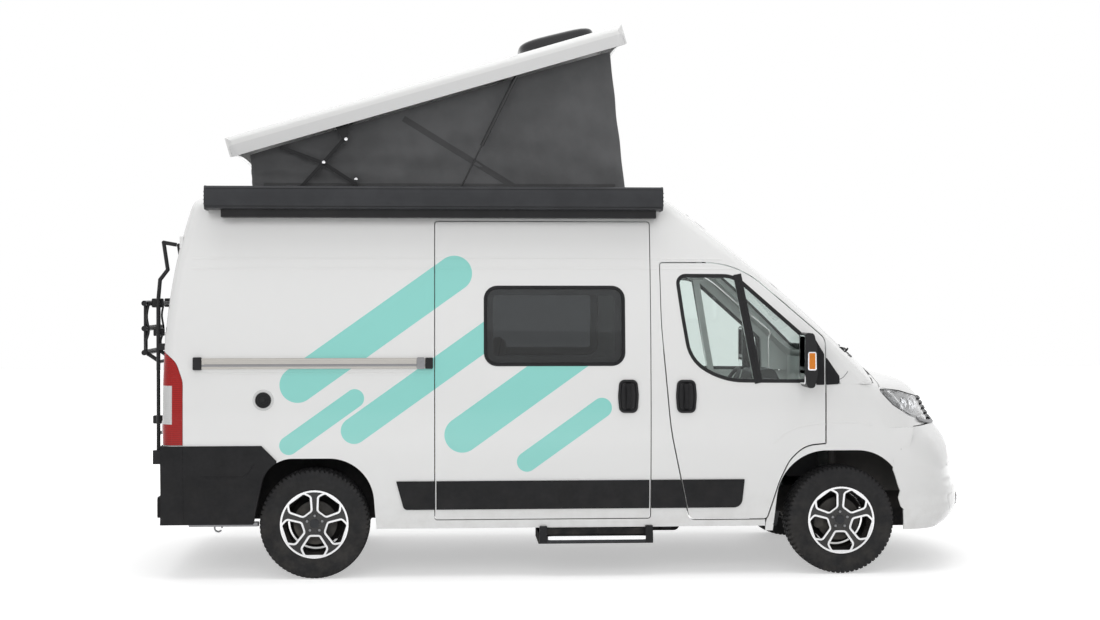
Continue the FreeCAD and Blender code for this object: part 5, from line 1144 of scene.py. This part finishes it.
# %% Intake, plate, covers and grille
intake = evenly(rounded(((-0.50, 0.470, 0.03), (0.50, 0.470, 0.03), (0.46, 0.372, 0.03),
                         (-0.46, 0.372, 0.03))), 160)
slats = [strip(line((-0.45, z), (0.45, z), 60), bar(0.010, 0.007), on_bumper) for z in (0.395, 0.421, 0.447)]
piece("lower_intake", [plate(intake, 0.004, on_bumper)] + slats, SATIN_BLACK)
front_plate = rectangle(-0.26, 0.26, 0.640, 0.530, 0.008, 120)
piece("blank_plate", [plate(front_plate, 0.006, on_bumper)], LIGHT_PLASTIC)
UPPER_COVER = ((0.66, 0.712, 0.01), (0.79, 0.704, 0.01), (0.78, 0.686, 0.01), (0.66, 0.690, 0.01))
LOWER_COVER = ((0.62, 0.500, 0.02), (0.84, 0.506, 0.03), (0.82, 0.392, 0.03), (0.64, 0.376, 0.02))
covers = [plate(evenly(rounded([(side * a, b, r) for a, b, r in outline]), count), 0.002, on_bumper)
          for side, word in SIDES for outline, count in ((UPPER_COVER, 60), (LOWER_COVER, 80))]
piece("bumper_covers", covers, PAINT)
rails = [strip(line((-0.535, z), (0.535, z), 70), bar(0.012, 0.008), on_nose)
         for z in (0.995, 1.028, 1.061, 1.094, 1.127)]
piece("grille_bars", rails, ANTHRACITE)
TRIM = ((0.08, 0.974), (0.40, 0.974), (0.60, 0.976), (0.74, 0.990), (0.84, 1.010))
trims = [strip(curve([(side * y, z) for y, z in TRIM], 50), bar(0.022, 0.009), on_nose)
         for side, word in SIDES]
piece("grille_trim", trims, STEEL)

# %% [markdown]
# ## Headlamps
# Behind the clear cover a headlamp is a black housing with three bright bowls, each with its bulb's
# lens, and a pale light guide below. The housing is the cover's own inner wall, copied and moved
# inwards, so that the gap is even. The bowls are turned pieces that look along the nose's normal.

# %% Housings inside the covers
GAP = 0.012
shell, triangles = cad_arrays("lamps", lambda p: p[:, 0] > 0)
edges = shell[triangles]
flat = np.cross(edges[:, 1] - edges[:, 0], edges[:, 2] - edges[:, 0])
outward = edges.mean(1) - np.array([AXLE_X - 0.1, 0.0, 1.05])
inner = (flat * outward).sum(1) < 0
normals = np.zeros_like(shell)
np.add.at(normals, triangles[inner].reshape(-1), np.repeat(flat[inner], 3, 0))
normals /= np.maximum(np.linalg.norm(normals, axis=1, keepdims=True), 1e-12)
used, again = np.unique(triangles[inner], return_inverse=True)
housing = np.concatenate([again.reshape(-1, 3), again.reshape(-1, 3)[:, :1]], 1)
piece("lamp_housings", [((shell + GAP * normals)[used], housing)], GLOSS_BLACK, turn=False)
print("housing", housing.shape)

# %% Bowls, bulbs and light guides
BOWL = ((0.15, -0.55), (0.45, -0.46), (0.75, -0.26), (0.98, 0.0), (1.06, 0.06), (1.10, 0.0), (0.8, -0.36),
        (0.3, -0.62))
BULB = ((0.30, -0.50), (0.34, -0.20), (0.24, 0.02), (0.08, 0.10))
BOWLS = ((0.660, 1.092, 0.046), (0.770, 1.092, 0.050), (0.868, 1.110, 0.040))
GUIDE = ((0.60, 1.030), (0.74, 1.020), (0.86, 1.036), (0.93, 1.075))
bowls, bulbs, guides = [], [], []
for side, word in SIDES:
    for y, z, size in BOWLS:
        seat = foot(on_nose, side * y, z, -0.034)
        ahead = foot(on_nose, side * y, z, 0.0) - seat
        bowls.append(turned([(size * r, size * d) for r, d in BOWL], seat, ahead, 40))
        bulbs.append(turned([(size * r, size * d) for r, d in BULB], seat, ahead, 24))
    guides.append(strip(curve([(side * y, z) for y, z in GUIDE], 40), bar(0.012, 0.004, -0.002),
                        lambda y, z, high: on_nose(y, z, high - 0.024)))
piece("lamp_bowls", bowls, CHROME)
piece("lamp_bulbs", bulbs, MIRROR)
piece("lamp_light_guides", guides, LIGHT_PLASTIC)
print(len(bowls), "bowls")

# %% [markdown]
# ## Wipers and the details of the wings
# The wipers lie at the foot of the windscreen, an arm and a rubber blade each. On the wings and the
# doors a pressed crease follows the arch, a thin rubber joint parts wing and pillar, and a flap hangs
# behind the wheel. Dust shields and dark plates inside the arches close the view through the wheels;
# the plates are painted shade, dark sheets where the arches' insides lie in shadow.

# %% Wipers
BLADE = ((-0.007, -0.006), (-0.004, 0.012), (0.004, 0.012), (0.007, -0.006))
arms, blades = [], []
for root, reach in ((0.58, -0.02), (-0.02, -0.60)):
    start, end = foot(on_screen, root, 1.425, 0.012), foot(on_screen, reach, 1.475, 0.020)
    arm = along(start, (start + end) / 2 + (0.012, 0, 0.010), end, steps=10)
    arms += [tube(arm, np.linspace(0.009, 0.005, len(arm)), 10),
             turned(((0.016, -0.02), (0.016, 0.008), (0.010, 0.012)), start, (1, 0, 0.7), 20)]
    blades.append(strip(line((reach - 0.20, 1.487), (reach + 0.36, 1.458), 40), BLADE, on_screen))
piece("wiper_arms", arms, SATIN_BLACK)
piece("wiper_blades", blades, SEAL)
print("an arm has", len(arm), "steps")

# %% Creases, joints, flaps and shields
RIDGE = ((-0.011, -0.002), (-0.007, 0.0004), (0.0, 0.0011), (0.007, 0.0004), (0.011, -0.002))
COVER = ((-0.008, -0.004), (-0.007, 0.0008), (0.007, 0.0008), (0.008, -0.004))
DOOR_CREASE = curve(((-0.458, 0.869), (-0.322, 0.962), (-0.119, 1.002)), 40)
WING_CREASE = curve(((-0.100, 1.003), (0.098, 1.000), (0.200, 0.985)), 40)
WING_JOINT = curve(((-0.018, 1.284), (0.012, 1.302), (0.040, 1.338)), 24)
SHIELD = ((0.170, -0.068), (0.172, -0.064), (0.166, -0.060), (0.05, -0.060))
for side, word in SIDES:
    place = on_side(side)
    piece("door_arch_crease_" + word, [strip(DOOR_CREASE, RIDGE, place)], PAINT, "front_door_" + word)
    cover = strip(line((-0.010, 1.2615), (0.200, 1.2615)), COVER, place)
    piece("wing_crease_" + word, [strip(WING_CREASE, RIDGE, place), cover], PAINT)
    piece("wing_joint_" + word, [strip(WING_JOINT, bar(0.003, 0.0010), place)], SEAL)
    flap = block(at_x(-0.432, side * 0.895, 0.372), (0.030, 0.19, 0.10), lean=0.25, power=0.1)
    nub = block(at_x(-1.150, side * 0.905, 0.313), (0.060, 0.05, 0.022))
    piece("mud_flap_" + word, [flap, nub], SEAL)
    # The arch plate is painted shade: a dark sheet where the inside of the arch lies in shadow.
    shade = block(at_x(0.480, side * 0.500, 0.425), (0.240, 0.010, 0.350), power=0.1, rows=12, columns=24)
    piece("arch_shade_" + word, [shade], UNDERBODY)
    for name, middle_x, body in (("dust_shield_", AXLE_X, "knuckle_" + word),
                                 ("rear_dust_shield_", REAR_AXLE_X, "root")):
        shield = turned(SHIELD, (middle_x, side * WHEEL_Y, TYRE_R), (0, side, 0), 64)
        piece(name + word, [shield], UNDERBODY, body)

# %% [markdown]
# ## Handles, mirrors and side fittings
# The handles are black escutcheons with a dish for the hand and an upright grip across it. The
# mirrors carry an indicator on their outer end and two glasses behind. The quarter panel has a
# round vent with a white ring, and the sliding door's rail ends in a black cap.

# %% Door handles
DISH = ((0, -0.003), (0, 0.010), (-0.004, 0.014), (-0.013, 0.014), (-0.021, 0.004), (-0.028, 0.002),
        (-0.045, 0.0015))
FRONT_HANDLE, SLIDE_HANDLE = (-1.101, -0.963, 1.069, 1.285), (-1.481, -1.344, 1.071, 1.287)


def handle(x_low, x_high, z_low, z_high, place):
    """The escutcheon with its dish, and the grip as an upright bow; returns two parts."""
    x, z = (x_low + x_high) / 2, (z_low + z_high) / 2
    inner_low, inner_high = x_low + 0.010, x_high - 0.010
    edge = evenly(rounded(((inner_low, z_low, 0.036), (x_low, z, 0.30), (inner_low, z_high, 0.036),
                           (inner_high, z_high, 0.036), (x_high, z, 0.30), (inner_high, z_low, 0.036))), 96)
    rows = np.stack([place(*grown(edge, out).T, high) for out, high in DISH])
    dish = sheet_of(rows, round_columns=True, cap_rows=True)
    t = np.linspace(0, 1, 28)[:, None]
    angle = np.linspace(0, 2 * np.pi, 20, endpoint=False)[None, :]
    half = 0.017 - 0.003 * np.sin(np.pi * t)
    high = 0.004 + 0.026 * np.sin(np.pi * t) ** 0.6 + 0.008 * np.sin(angle)
    grip = place(x + half * np.cos(angle), z_low + 0.026 + (z_high - z_low - 0.050) * t + 0 * angle, high)
    return dish, sheet_of(grip, round_columns=True, cap_rows=True)


for name, spot, place, body in (("slide", SLIDE_HANDLE, RIGHT, "root"),
                                ("front_right", FRONT_HANDLE, RIGHT, "front_door_right"),
                                ("front_left", FRONT_HANDLE, LEFT, "front_door_left")):
    dish, grip = handle(*spot, place)
    piece("handle_dish_" + name, [dish], SATIN_BLACK, body, sharp=30)
    piece("handle_grip_" + name, [grip], CLADDING, body)
tail_plate = plate(rectangle(-0.165, -0.030, 0.985, 0.895, 0.02, 60), 0.010, on_tail)
tail_grip = strip(line((-0.20, 0.955), (-0.06, 0.955)), bar(0.022, 0.024, 0.004), on_tail)
piece("rear_handle", [tail_plate, tail_grip], SATIN_BLACK, "rear_door_right")
print("a grip has", len(grip[0]), "corners")

# %% Mirrors
MIRROR_OUT, MIRROR_BACK, MIRROR_MIDDLE = 1.2500, 0.2925, 1.157
for side, word in SIDES:
    body = frame["nodes"]["mirror_" + word]["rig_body"]

    def outer(a, b, high):
        """On the mirror's outer end, at x from the axle and a height."""
        return np.stack([a + AXLE_X, side * (MIRROR_OUT + high) + 0 * a, b + 0 * a], -1)

    def behind(a, b, high):
        """On the mirror's back, at a distance from its middle and a height."""
        return np.stack([AXLE_X - MIRROR_BACK - high + 0 * a, side * (MIRROR_MIDDLE + a), b + 0 * a], -1)

    lamp_edge = evenly(rounded(((-0.277, 1.474, 0.012), (-0.222, 1.474, 0.012), (-0.220, 1.354, 0.012),
                                (-0.277, 1.354, 0.012))), 60)
    piece("mirror_indicator_rim_" + word, [plate(lamp_edge, 0.0030, outer)], CHROME, body)
    piece("mirror_indicator_" + word, [plate(grown(lamp_edge, -0.008), 0.0050, outer)], AMBER_LENS, body)
    glasses = [plate(rectangle(-0.077, 0.077, top, low, 0.02, 60), 0.0015, behind)
               for top, low in ((1.578, 1.372), (1.354, 1.262))]
    piece("mirror_glass_" + word, glasses, MIRROR, body)

# %% Vent and rail fittings
VENT_RING = ((0.050, -0.003), (0.050, 0.005), (0.054, 0.008), (0.061, 0.008), (0.067, 0.005), (0.068, -0.003))
VENT_CAP = ((0.0505, -0.003), (0.0505, 0.007), (0.047, 0.011), (0.043, 0.011), (0.040, 0.007), (0.034, 0.007),
            (0.031, 0.011), (0.027, 0.011), (0.024, 0.007), (0.016, 0.007), (0.012, 0.012), (0.004, 0.013))
RAIL_ENDS = (-4.215, -2.688)
vent = at_x(-3.774, -float(half_width(np.array(1.162))), 1.162)
piece("vent_ring", [turned(VENT_RING, vent, count=72, ring=True)], LID_PAINT_SHADED)
piece("vent_cap", [turned(VENT_CAP, vent, count=72)], SATIN_BLACK)
lips = [strip(line((RAIL_ENDS[0], z), (RAIL_ENDS[1], z), 60), bar(width, thick, 0.010), RIGHT)
        for z, width, thick in ((1.4235, 0.013, 0.0180), (1.3700, 0.009, 0.0165))]
piece("rail_lips", lips, BRIGHT_RAIL)
rail_groove = strip(line((-4.210, 1.3850), (-2.690, 1.3850), 60), bar(0.017, 0.0134, 0.010), RIGHT)
piece("rail_groove", [rail_groove], STEEL)
for name, coat, plates in (
        ("rail_end_cap", SATIN_BLACK, ((-4.222, -4.166, 1.357, 1.439, 0.006, 0.0210),)),
        ("rail_front_fitting", STEEL, ((-2.790, -2.736, 1.360, 1.436, 0.012, 0.0195),
                                       (-2.765, -2.745, 1.386, 1.410, 0.006, 0.0225),
                                       (-2.785, -2.772, 1.386, 1.410, 0.004, 0.0225))),
        ("rail_front_cap", SATIN_BLACK, ((-2.734, -2.684, 1.362, 1.434, 0.006, 0.0190),))):
    piece(name, [plate(rectangle(*spot, 80), thick, RIGHT) for *spot, thick in plates], coat)
print("vent at", np.round(vent, 3))

# %% Cladding lines, tow parts and step
ARCH_LINE = curve(((-4.177, 0.668), (-3.960, 0.668), (-3.895, 0.672), (-3.831, 0.754)), 60)
ARCH_BEAD = ((-0.006, 0.008), (-0.002, 0.0150), (0.002, 0.0150), (0.006, 0.008))
CORNER_LINE = line((-4.287, 0.372), (-4.287, 0.862), 40)
CORNER_BEAD = ((-0.003, 0.008), (-0.002, 0.0138), (0.002, 0.0138), (0.003, 0.008))
lines = [strip(path, bead, place) for path, bead in ((ARCH_LINE, ARCH_BEAD), (CORNER_LINE, CORNER_BEAD))
         for place in (RIGHT, LEFT)]
piece("cladding_lines", lines, CLADDING)
tow_bar = [block(at_x(-4.040, side * 0.905, 0.350), (0.45, 0.05, 0.028)) for side, word in SIDES]
piece("tow_bar_end", tow_bar, STEEL)
turn = np.linspace(0, 2 * np.pi, 28, endpoint=False)[:26]
hoop = np.stack([AXLE_X - 4.08 + 0.024 * np.cos(turn), -0.88 + 0 * turn, 0.322 + 0.024 * np.sin(turn)], -1)
piece("tow_eye", [tube(hoop, 0.006, 10)], STEEL)
edge_strip = block(at_x(-1.6175, -1.0165, 0.256), (0.64, 0.008, 0.026), power=0.15)
piece("step_strip", [edge_strip], MACHINED, "entry_step")
ends = [block(at_x(x, -0.992, 0.280), (0.050, 0.056, 0.106), power=0.12) for x in (-1.9665, -1.2745)]
piece("step_ends", ends, SEAL)

# %% [markdown]
# ## The tent
# The tent is one wall of coated cloth. It is glued to a frame on the roof and to the lid, so it
# stands tight, with shallow folds that fan from its corners. Cloth that tight hardly sags, so its
# folds are waves in a numpy surface and not a simulation. Two darker bands are sewn on, one along
# the foot and one across the side.

# %% Tent wall
BASE_X, TOP_X, TENT_SIDE = (-3.880, -1.390), (-3.893, -1.500), 0.735
TENT_LENGTH = BASE_X[1] - BASE_X[0]
FOOT_Z, FOOT_DROP, TOP_Z = 2.5255, 0.0445, 2.764
CLOTH_THICK = 0.0012


def folds(x, v):
    """Shallow tension folds: two fans of waves that die away at the cloth's held edges."""
    fan = np.sin(26 * (0.45 * x + 0.9 * v) + 3.0 * np.sin(1.7 * x)) * 0.0048
    fan = fan + np.sin(17 * (x - 0.8 * v) + 2.0) * 0.0038
    return (fan + 0.0022 * np.sin(55 * x + 9 * v)) * np.sin(np.pi * v) ** 0.7 - 0.010 * np.sin(np.pi * v)


def tent_point(share, y, v):
    """A point on the wall at a share of its length, a distance from the middle and a share v of its
    height. The foot follows the roof's crown, and the top follows the tilted lid."""
    low = FOOT_Z - FOOT_DROP * (y / TENT_SIDE) ** 2
    x_low, x_top = BASE_X[0] + share * TENT_LENGTH, TOP_X[0] + share * (TOP_X[1] - TOP_X[0])
    top = TOP_Z + (x_top - TOP_X[0]) * math.tan(TILT)
    return np.stack([AXLE_X + x_low + v * (x_top - x_low), y + 0 * v, low + v * (top - low)], -1)


corners = rounded(((0, -1, 0.07), (1, -1, 0.07), (1, 1, 0.07), (0, 1, 0.07)))
outline = evenly(corners * (TENT_LENGTH, TENT_SIDE), 520)
outward = np.roll(outline, -1, 0) - np.roll(outline, 1, 0)
outward = np.stack([outward[:, 1], -outward[:, 0]], -1) / np.linalg.norm(outward, axis=1, keepdims=True)
share, y = outline[:, 0] / TENT_LENGTH, outline[:, 1]
v = np.linspace(0, 1, 60)[:, None]
wall = tent_point(share[None], y[None] + 0 * v, v)
wave = folds(wall[..., 0] + 1.3 * wall[..., 1], v) * (0.25 + 0.75 * np.abs(outward[:, 1]))
layers = []
for depth in (0.0, CLOTH_THICK):
    shifted = wall.copy()
    shifted[..., :2] += (wave - depth)[..., None] * outward[None]
    layers.append(shifted)
both = np.concatenate([layers[0], layers[1][::-1]])
tent_wall = piece("tent_wall", [sheet_of(both, round_rows=True, round_columns=True)], TENT_CLOTH,
                  replaces="tent_fabric", sharp=60)
print("tent wall", wall.shape, "folds up to", round(float(np.abs(wave).max()) * 1000, 1), "mm")

# %% Sewn bands, and the tent's own meshes
SIDE_FOOT_Z = FOOT_Z - FOOT_DROP
BAND_PROFILE = ((-0.020, -0.0004), (-0.020, 0.0010), (-0.016, 0.0016), (-0.012, 0.0008), (0.012, 0.0008),
                (0.016, 0.0016), (0.020, 0.0010), (0.020, -0.0004))


def on_tent(x, z, high):
    """On the tent's right wall, at x from the front axle and a height."""
    top = TOP_Z + (x - TOP_X[0]) * math.tan(TILT)
    v = (z - SIDE_FOOT_Z) / (top - SIDE_FOOT_Z)
    wave = folds(x + AXLE_X - 1.3 * TENT_SIDE, v)
    return np.stack([x + AXLE_X, -TENT_SIDE - wave - high, z], -1)


sewn = [strip(line((-2.880, 3.010), (-2.080, 2.520), 90), BAND_PROFILE, on_tent),
        strip(line((-3.800, 2.560), (-1.470, 2.560), 160), BAND_PROFILE, on_tent)]
sewn_bands = piece("tent_bands", sewn, BAND_CLOTH, sharp=30)
for layer in (tent_wall, sewn_bands):
    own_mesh(layer)
print("tent pieces:", tent_wall.name, sewn_bands.name)

# %% [markdown]
# ## Seats and mattress
# Foam in sewn covers: crowned faces, sides that pull in between the corners, sewn channels and a
# piped seam. Each pad is a ball whose sines are raised to a small power, then crowned and grooved,
# because that gives an even mesh with no seam of its own. The mattress is the same, wider and flatter.


# %% A padded cushion with its seam
PULL = 0.030


def pad(centre, size, lean=0.0, channels=(), crown=0.10, power=0.22, rows=56, columns=120):
    """A pad whose thickness is its local Z: a ball of small powers, crowned by the product of two
    parabolas, with sides pulled in between the corners. Channels are narrow dips at shares of its
    width from its middle. It returns the pad and the tube of its seam."""
    v, u = ball_angles(rows, columns)
    a = soft(np.cos(v), 0.30) * soft(np.cos(u), power)
    b = soft(np.cos(v), 0.30) * soft(np.sin(u), power)
    c = soft(np.sin(v), 0.75) + 0 * u
    c = c * (1 - crown + crown * (1 - a**2) * (1 - b**2) * 1.6)
    for at in channels:
        c = c - np.sign(c) * 0.16 * np.exp(-((b - at) / 0.035) ** 2) * (np.abs(c) > 0.3)
    pulled = np.stack([a * (1 - PULL * (1 - b**2)), b * (1 - PULL * (1 - a**2)), c], -1)
    points = leaning(pulled * np.asarray(size) / 2, lean, centre)
    seam = points[rows // 2]
    piping = tube(np.concatenate([seam, seam[:1]]), 0.0035, 6)
    return sheet_of(points, round_columns=True, cap_rows=True), piping


print("a pad has", len(pad((0, 0, 0), (1, 1, 0.1))[0][0]), "corners")

# %% Seats
SEAT_LEAN, BACK_LEAN = math.radians(-3), -math.radians(90 - 11)
HEAD_PAD, ARM_PAD = ((), 0.16, 0.35, 32, 64), ((), 0.2, 0.4, 32, 64)
SINGLE = {"heads": (0.0,), "channels": (-0.55, 0.55), "wings": (-1, 1)}
DOUBLE = {"heads": (-0.21, 0.21), "channels": (-0.62, -0.04, 0.04, 0.62), "wings": ()}
for name, x, y, width, low, kind in (("cab_right", -1.110, -0.460, 0.52, 0.781, SINGLE),
                                     ("cab_left", -1.110, 0.460, 0.52, 0.781, SINGLE),
                                     ("bench", -2.230, 0.430, 0.86, 0.841, DOUBLE)):
    channels = kind["channels"]
    parts = [pad(at_x(x + 0.300, y, low + 0.071), (0.50, width - 0.02, 0.140), SEAT_LEAN, channels),
             pad(at_x(x - 0.030, y, low + 0.375), (0.640, width - 0.04, 0.110), BACK_LEAN, channels)]
    for shift in kind["heads"]:
        centre = at_x(x - 0.108, y + shift, low + 0.805)
        parts.append(pad(centre, (0.160, 0.26, 0.080), BACK_LEAN, *HEAD_PAD))
    for side in kind["wings"]:
        centre = at_x(x + 0.320, y + side * 0.215, low + 0.100)
        parts.append(pad(centre, (0.44, 0.085, 0.085), SEAT_LEAN, *ARM_PAD))
        centre = at_x(x - 0.005, y + side * 0.195, low + 0.330)
        parts.append(pad(centre, (0.46, 0.080, 0.095), BACK_LEAN, *ARM_PAD))
    seat = piece("seat_pads_" + name, [cushion for cushion, _ in parts], SEAT_CLOTH,
                 replaces="seats" if name == "cab_right" else None, sharp=60)
    piece("seat_piping_" + name, [seam for _, seam in parts], SEAL)
    posts = [tube([at_x(x - 0.085, y + shift + side * 0.06, low + 0.66),
                   at_x(x - 0.108, y + shift + side * 0.06, low + 0.78)], 0.006, 10)
             for shift in kind["heads"] for side in (-1, 1)]
    piece("headrest_posts_" + name, posts, CHROME)

# %% Mattress and sun visors
bed, seam = pad((-1.934, 0, 1.0945), (1.222, 1.420, 0.105), 0.0, (-0.5, 0.0, 0.5), 0.06, 0.10, 64, 200)
bed = piece("mattress_pad", [bed], MATTRESS_CLOTH, replaces="mattress", sharp=60)
piece("mattress_piping", [seam], SEAL)
visors = [block(at_x(-0.800, side * 0.42, 1.985), (0.150, 0.48, 0.022), lean=0.35, power=0.14)
          for side in (-1, 1)]
piece("sun_visors", visors, LIGHT_PLASTIC)
print("mattress of", len(bed.data.vertices), "corners")

# %% [markdown]
# ## Awning front
# The awning's case has a rounded front cover over its flat back, with two dark lines where the cover
# meets the body, ribs on each end and a black foot under it. The cover is one profile carried along
# the van and drawn in a little at its ends.

# %% Awning cover, seams, ribs and foot
AWNING = ((-1.040, 2.392), (-1.062, 2.396), (-1.075, 2.412), (-1.0797, 2.440), (-1.0810, 2.470),
          (-1.0790, 2.500), (-1.0730, 2.525), (-1.060, 2.538), (-1.040, 2.5405), (-1.036, 2.500),
          (-1.036, 2.430))
profile = evenly(np.array(AWNING), 64)
length = np.array([-4.136, -4.130, -1.204, -1.198])[:, None]
size = np.array([0.985, 1.0, 1.0, 0.985])[:, None]
middle = profile.mean(0)
y, z = [middle[k] + size * (profile[None, :, k] - middle[k]) for k in (0, 1)]
grid = np.stack([AXLE_X + length + 0 * y, y, z], -1)
piece("awning_cover", [sheet_of(grid, round_columns=True, cap_rows=True)], ANTHRACITE, sharp=50)


def on_awning(face_y):
    """Places (x, z, high) on an upright face of the awning."""
    def place(x, z, high):
        return np.stack([x + AXLE_X, face_y - high + 0 * x, z], -1)
    return place


seams = [strip(line((-4.134, z), (-1.200, z), 40), bar(0.0035, 0.0008, -0.002), on_awning(y))
         for z, y in ((2.5225, -1.0742), (2.408, -1.0735))]
piece("awning_seams", seams, SEAL)
ribs = [block(at_x(x, -0.985, z), (0.006, 0.15, 0.006), rows=8, columns=16)
        for x in (-4.146, -1.188) for z in (2.425, 2.450, 2.475, 2.500)]
piece("awning_end_ribs", ribs, ANTHRACITE)
under = strip(line((-4.02, 2.352), (-1.30, 2.352), 40), bar(0.020, 0.006, -0.004), on_awning(-0.930))
piece("awning_foot", [under], SATIN_BLACK)
print("awning cover", grid.shape)

# %% [markdown]
# ## Rear and roof fittings
# The bike carrier is held by cast clamps and hooked rods, and the rear doors hang on painted hinges.
# The roof hatch has a dome of dark acrylic. A pin's head shows wherever the lid's arms turn. All are
# small blocks, bars and turned pieces, placed on the surface that carries them.

# %% Carrier clamps and hooks
CLAMPS = ((-2.672, 1.787, 0.075, 0.060), (-2.664, 1.595, 0.070, 0.050), (-2.668, 1.020, 0.070, 0.055))
HOOK = ((-2.722, 1.785), (-2.736, 1.70), (-2.724, 1.60), (-2.744, 1.52), (-2.730, 1.44))
clamps = [block((x, y, z), (length, 0.040, height), power=0.2, rows=16, columns=28)
          for y in (-0.72, -0.21) for x, z, length, height in CLAMPS]
piece("carrier_clamps", clamps, SATIN_BLACK, "rear_door_right")
hooks = [tube(along(*[(x, y, z) for x, z in HOOK], steps=8), 0.007, 10) for y in (-0.76, -0.17)]
piece("carrier_hooks", hooks, SATIN_BLACK, "rear_door_right")
print(len(clamps), "clamps and", len(hooks), "hooks")

# %% Hinges, rear plate, hatch dome and pin heads
for side, word in SIDES:
    spots = [foot(on_tail, side * 0.884, z, 0.002) for z in (0.985, 1.560, 2.180)]
    hinges = [block(spot, (0.024, 0.050, 0.080), power=0.2, rows=16, columns=28) for spot in spots]
    piece("rear_hinges_" + word, hinges, PAINT)
back_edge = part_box("rear_bumper")[0].x


def on_back_edge(a, b, high):
    """On the rear bumper's back, at a distance from the middle and a height."""
    return np.stack([back_edge - high + 0 * a, a, b], -1)


rear_plate = rectangle(-0.26, 0.26, 0.735, 0.615, 0.008, 120)
piece("blank_rear_plate", [plate(rear_plate, 0.008, on_back_edge)], LIGHT_PLASTIC)
dome = block((0.000, 0.0, 3.604), (0.54, 0.50, 0.135), lean=-math.radians(14.0), power=0.5)
piece("hatch_dome", [dome], GLOSS_BLACK, frame["nodes"]["roof_hatch"]["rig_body"])
PIN_HEAD = ((0.011, -0.002), (0.011, 0.003), (0.006, 0.006))
PIN_SPOTS = {"scissor_arms": ((-1.434, 0.801, 2.865), (-1.580, 0.801, 2.711)),
             "scissor_links": ((-1.370, 0.775, 2.602),)}
for node, spots in PIN_SPOTS.items():
    heads = [turned(PIN_HEAD, (x, side * y, z), (0, side, 0), 20) for x, y, z in spots for side in (-1, 1)]
    piece(node + "_pin_heads", heads, CHROME, frame["nodes"][node]["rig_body"])

# %% [markdown]
# ## Studio
# A white room: the floor and the background show white to the camera, in glass and in
# reflections, while the floor still takes the van's shadow. Three large soft lamps light the van: one
# overhead, one from the camera's side and a weaker one from the far side. None shows in reflections.


# %% Floor
FLOOR_REACH, FLOOR_POINTS = 30, 31


def seen_by(wiring):
    """1 for rays from the camera, from glossy surfaces and through glass, and 0 for all others."""
    path = wiring.put("LightPath").outputs
    both = wiring.math("MAXIMUM", path["Is Camera Ray"], path["Is Glossy Ray"])
    return wiring.math("MAXIMUM", both, path["Is Transmission Ray"])


floor_finish, w, shader, here = finish("pale_floor", (0.82, 0.82, 0.82), Roughness=0.7)
speckle = w.step(w.noise(here, 60.0, 4.0), 0.3, 0.7)
wire(w, shader, Base_Color=w.blend(speckle, (0.80, 0.80, 0.80, 1.0), (0.83, 0.83, 0.83, 1.0)))
reach = w.put("VectorMath", {0: here}, operation="LENGTH").outputs["Value"]
level = w.step(reach, 5.0, 12.0, 0.46, 1.0)
glow = w.put("Emission", {"Color": (1, 1, 1, 1), "Strength": w.math("MULTIPLY", seen_by(w), level)})
total = w.put("AddShader", {0: shader.outputs[0], 1: glow.outputs[0]})
w.tree.links.new(total.outputs[0], w.tree.nodes["Material Output"].inputs["Surface"])

span = np.linspace(-FLOOR_REACH, FLOOR_REACH, FLOOR_POINTS)
floor_points = np.stack([*np.meshgrid(span, span, indexing="ij"), np.zeros((FLOOR_POINTS, FLOOR_POINTS))], -1)
vertices, faces = sheet_of(floor_points)
floor_mesh = bpy.data.meshes.new("studio_floor")
floor_mesh.from_pydata(vertices.tolist(), [], faces.tolist())
floor_mesh.materials.append(floor_finish)
floor = bpy.data.objects.new("studio_floor", floor_mesh)
bpy.context.scene.collection.objects.link(floor)
print("floor of", len(faces), "faces")

# %% World and lamps
world = bpy.data.worlds.new("studio_world")
world.use_nodes = True
w = Wiring(world.node_tree)
seen = seen_by(w)
background = world.node_tree.nodes["Background"]
background.inputs["Color"].default_value = (1, 1, 1, 1)
world.node_tree.links.new(w.math("MULTIPLY_ADD", seen, 0.53, 0.47), background.inputs["Strength"])
bpy.context.scene.world = world


def lamp(name, place, aim, size, power):
    """A square area lamp that points at aim."""
    data = bpy.data.lights.new(name, "AREA")
    data.shape, data.size, data.size_y, data.energy = "RECTANGLE", size[0], size[1], power
    obj = bpy.data.objects.new(name, data)
    obj.visible_glossy = False
    obj.location = place
    obj.rotation_euler = (Vector(aim) - Vector(place)).to_track_quat("-Z", "Y").to_euler()
    bpy.context.scene.collection.objects.link(obj)
    return obj


lamp("overhead_softbox", (-0.3, -1.0, 7.5), (0, 0, 0), (9, 6), 330)
lamp("side_softbox", (-2.0, -11.0, 5.5), (0, 0, 1.2), (9, 5), 330)
lamp("far_softbox", (0.0, 10.0, 6.0), (0, 0, 1.5), (8, 4), 130)

# %% [markdown]
# ## Camera
# The camera stands level with the windows and well back from the right-hand side, so that the van is
# seen almost square on. A long lens from far away keeps its lines nearly parallel.

# %% Camera
camera_data = bpy.data.cameras.new("side_camera")
camera_data.lens, camera_data.sensor_width = 55.5, 36.0
camera = bpy.data.objects.new("side_camera", camera_data)
camera.location = (-0.790, -12.025, 1.84)
camera.rotation_euler = (math.radians(89.49), 0.0, math.radians(-3.57))
bpy.context.scene.collection.objects.link(camera)
bpy.context.scene.camera = camera
bpy.context.scene.view_settings.view_transform = "Standard"
print("camera at", tuple(round(value, 3) for value in camera.location), "lens", camera_data.lens, "mm")
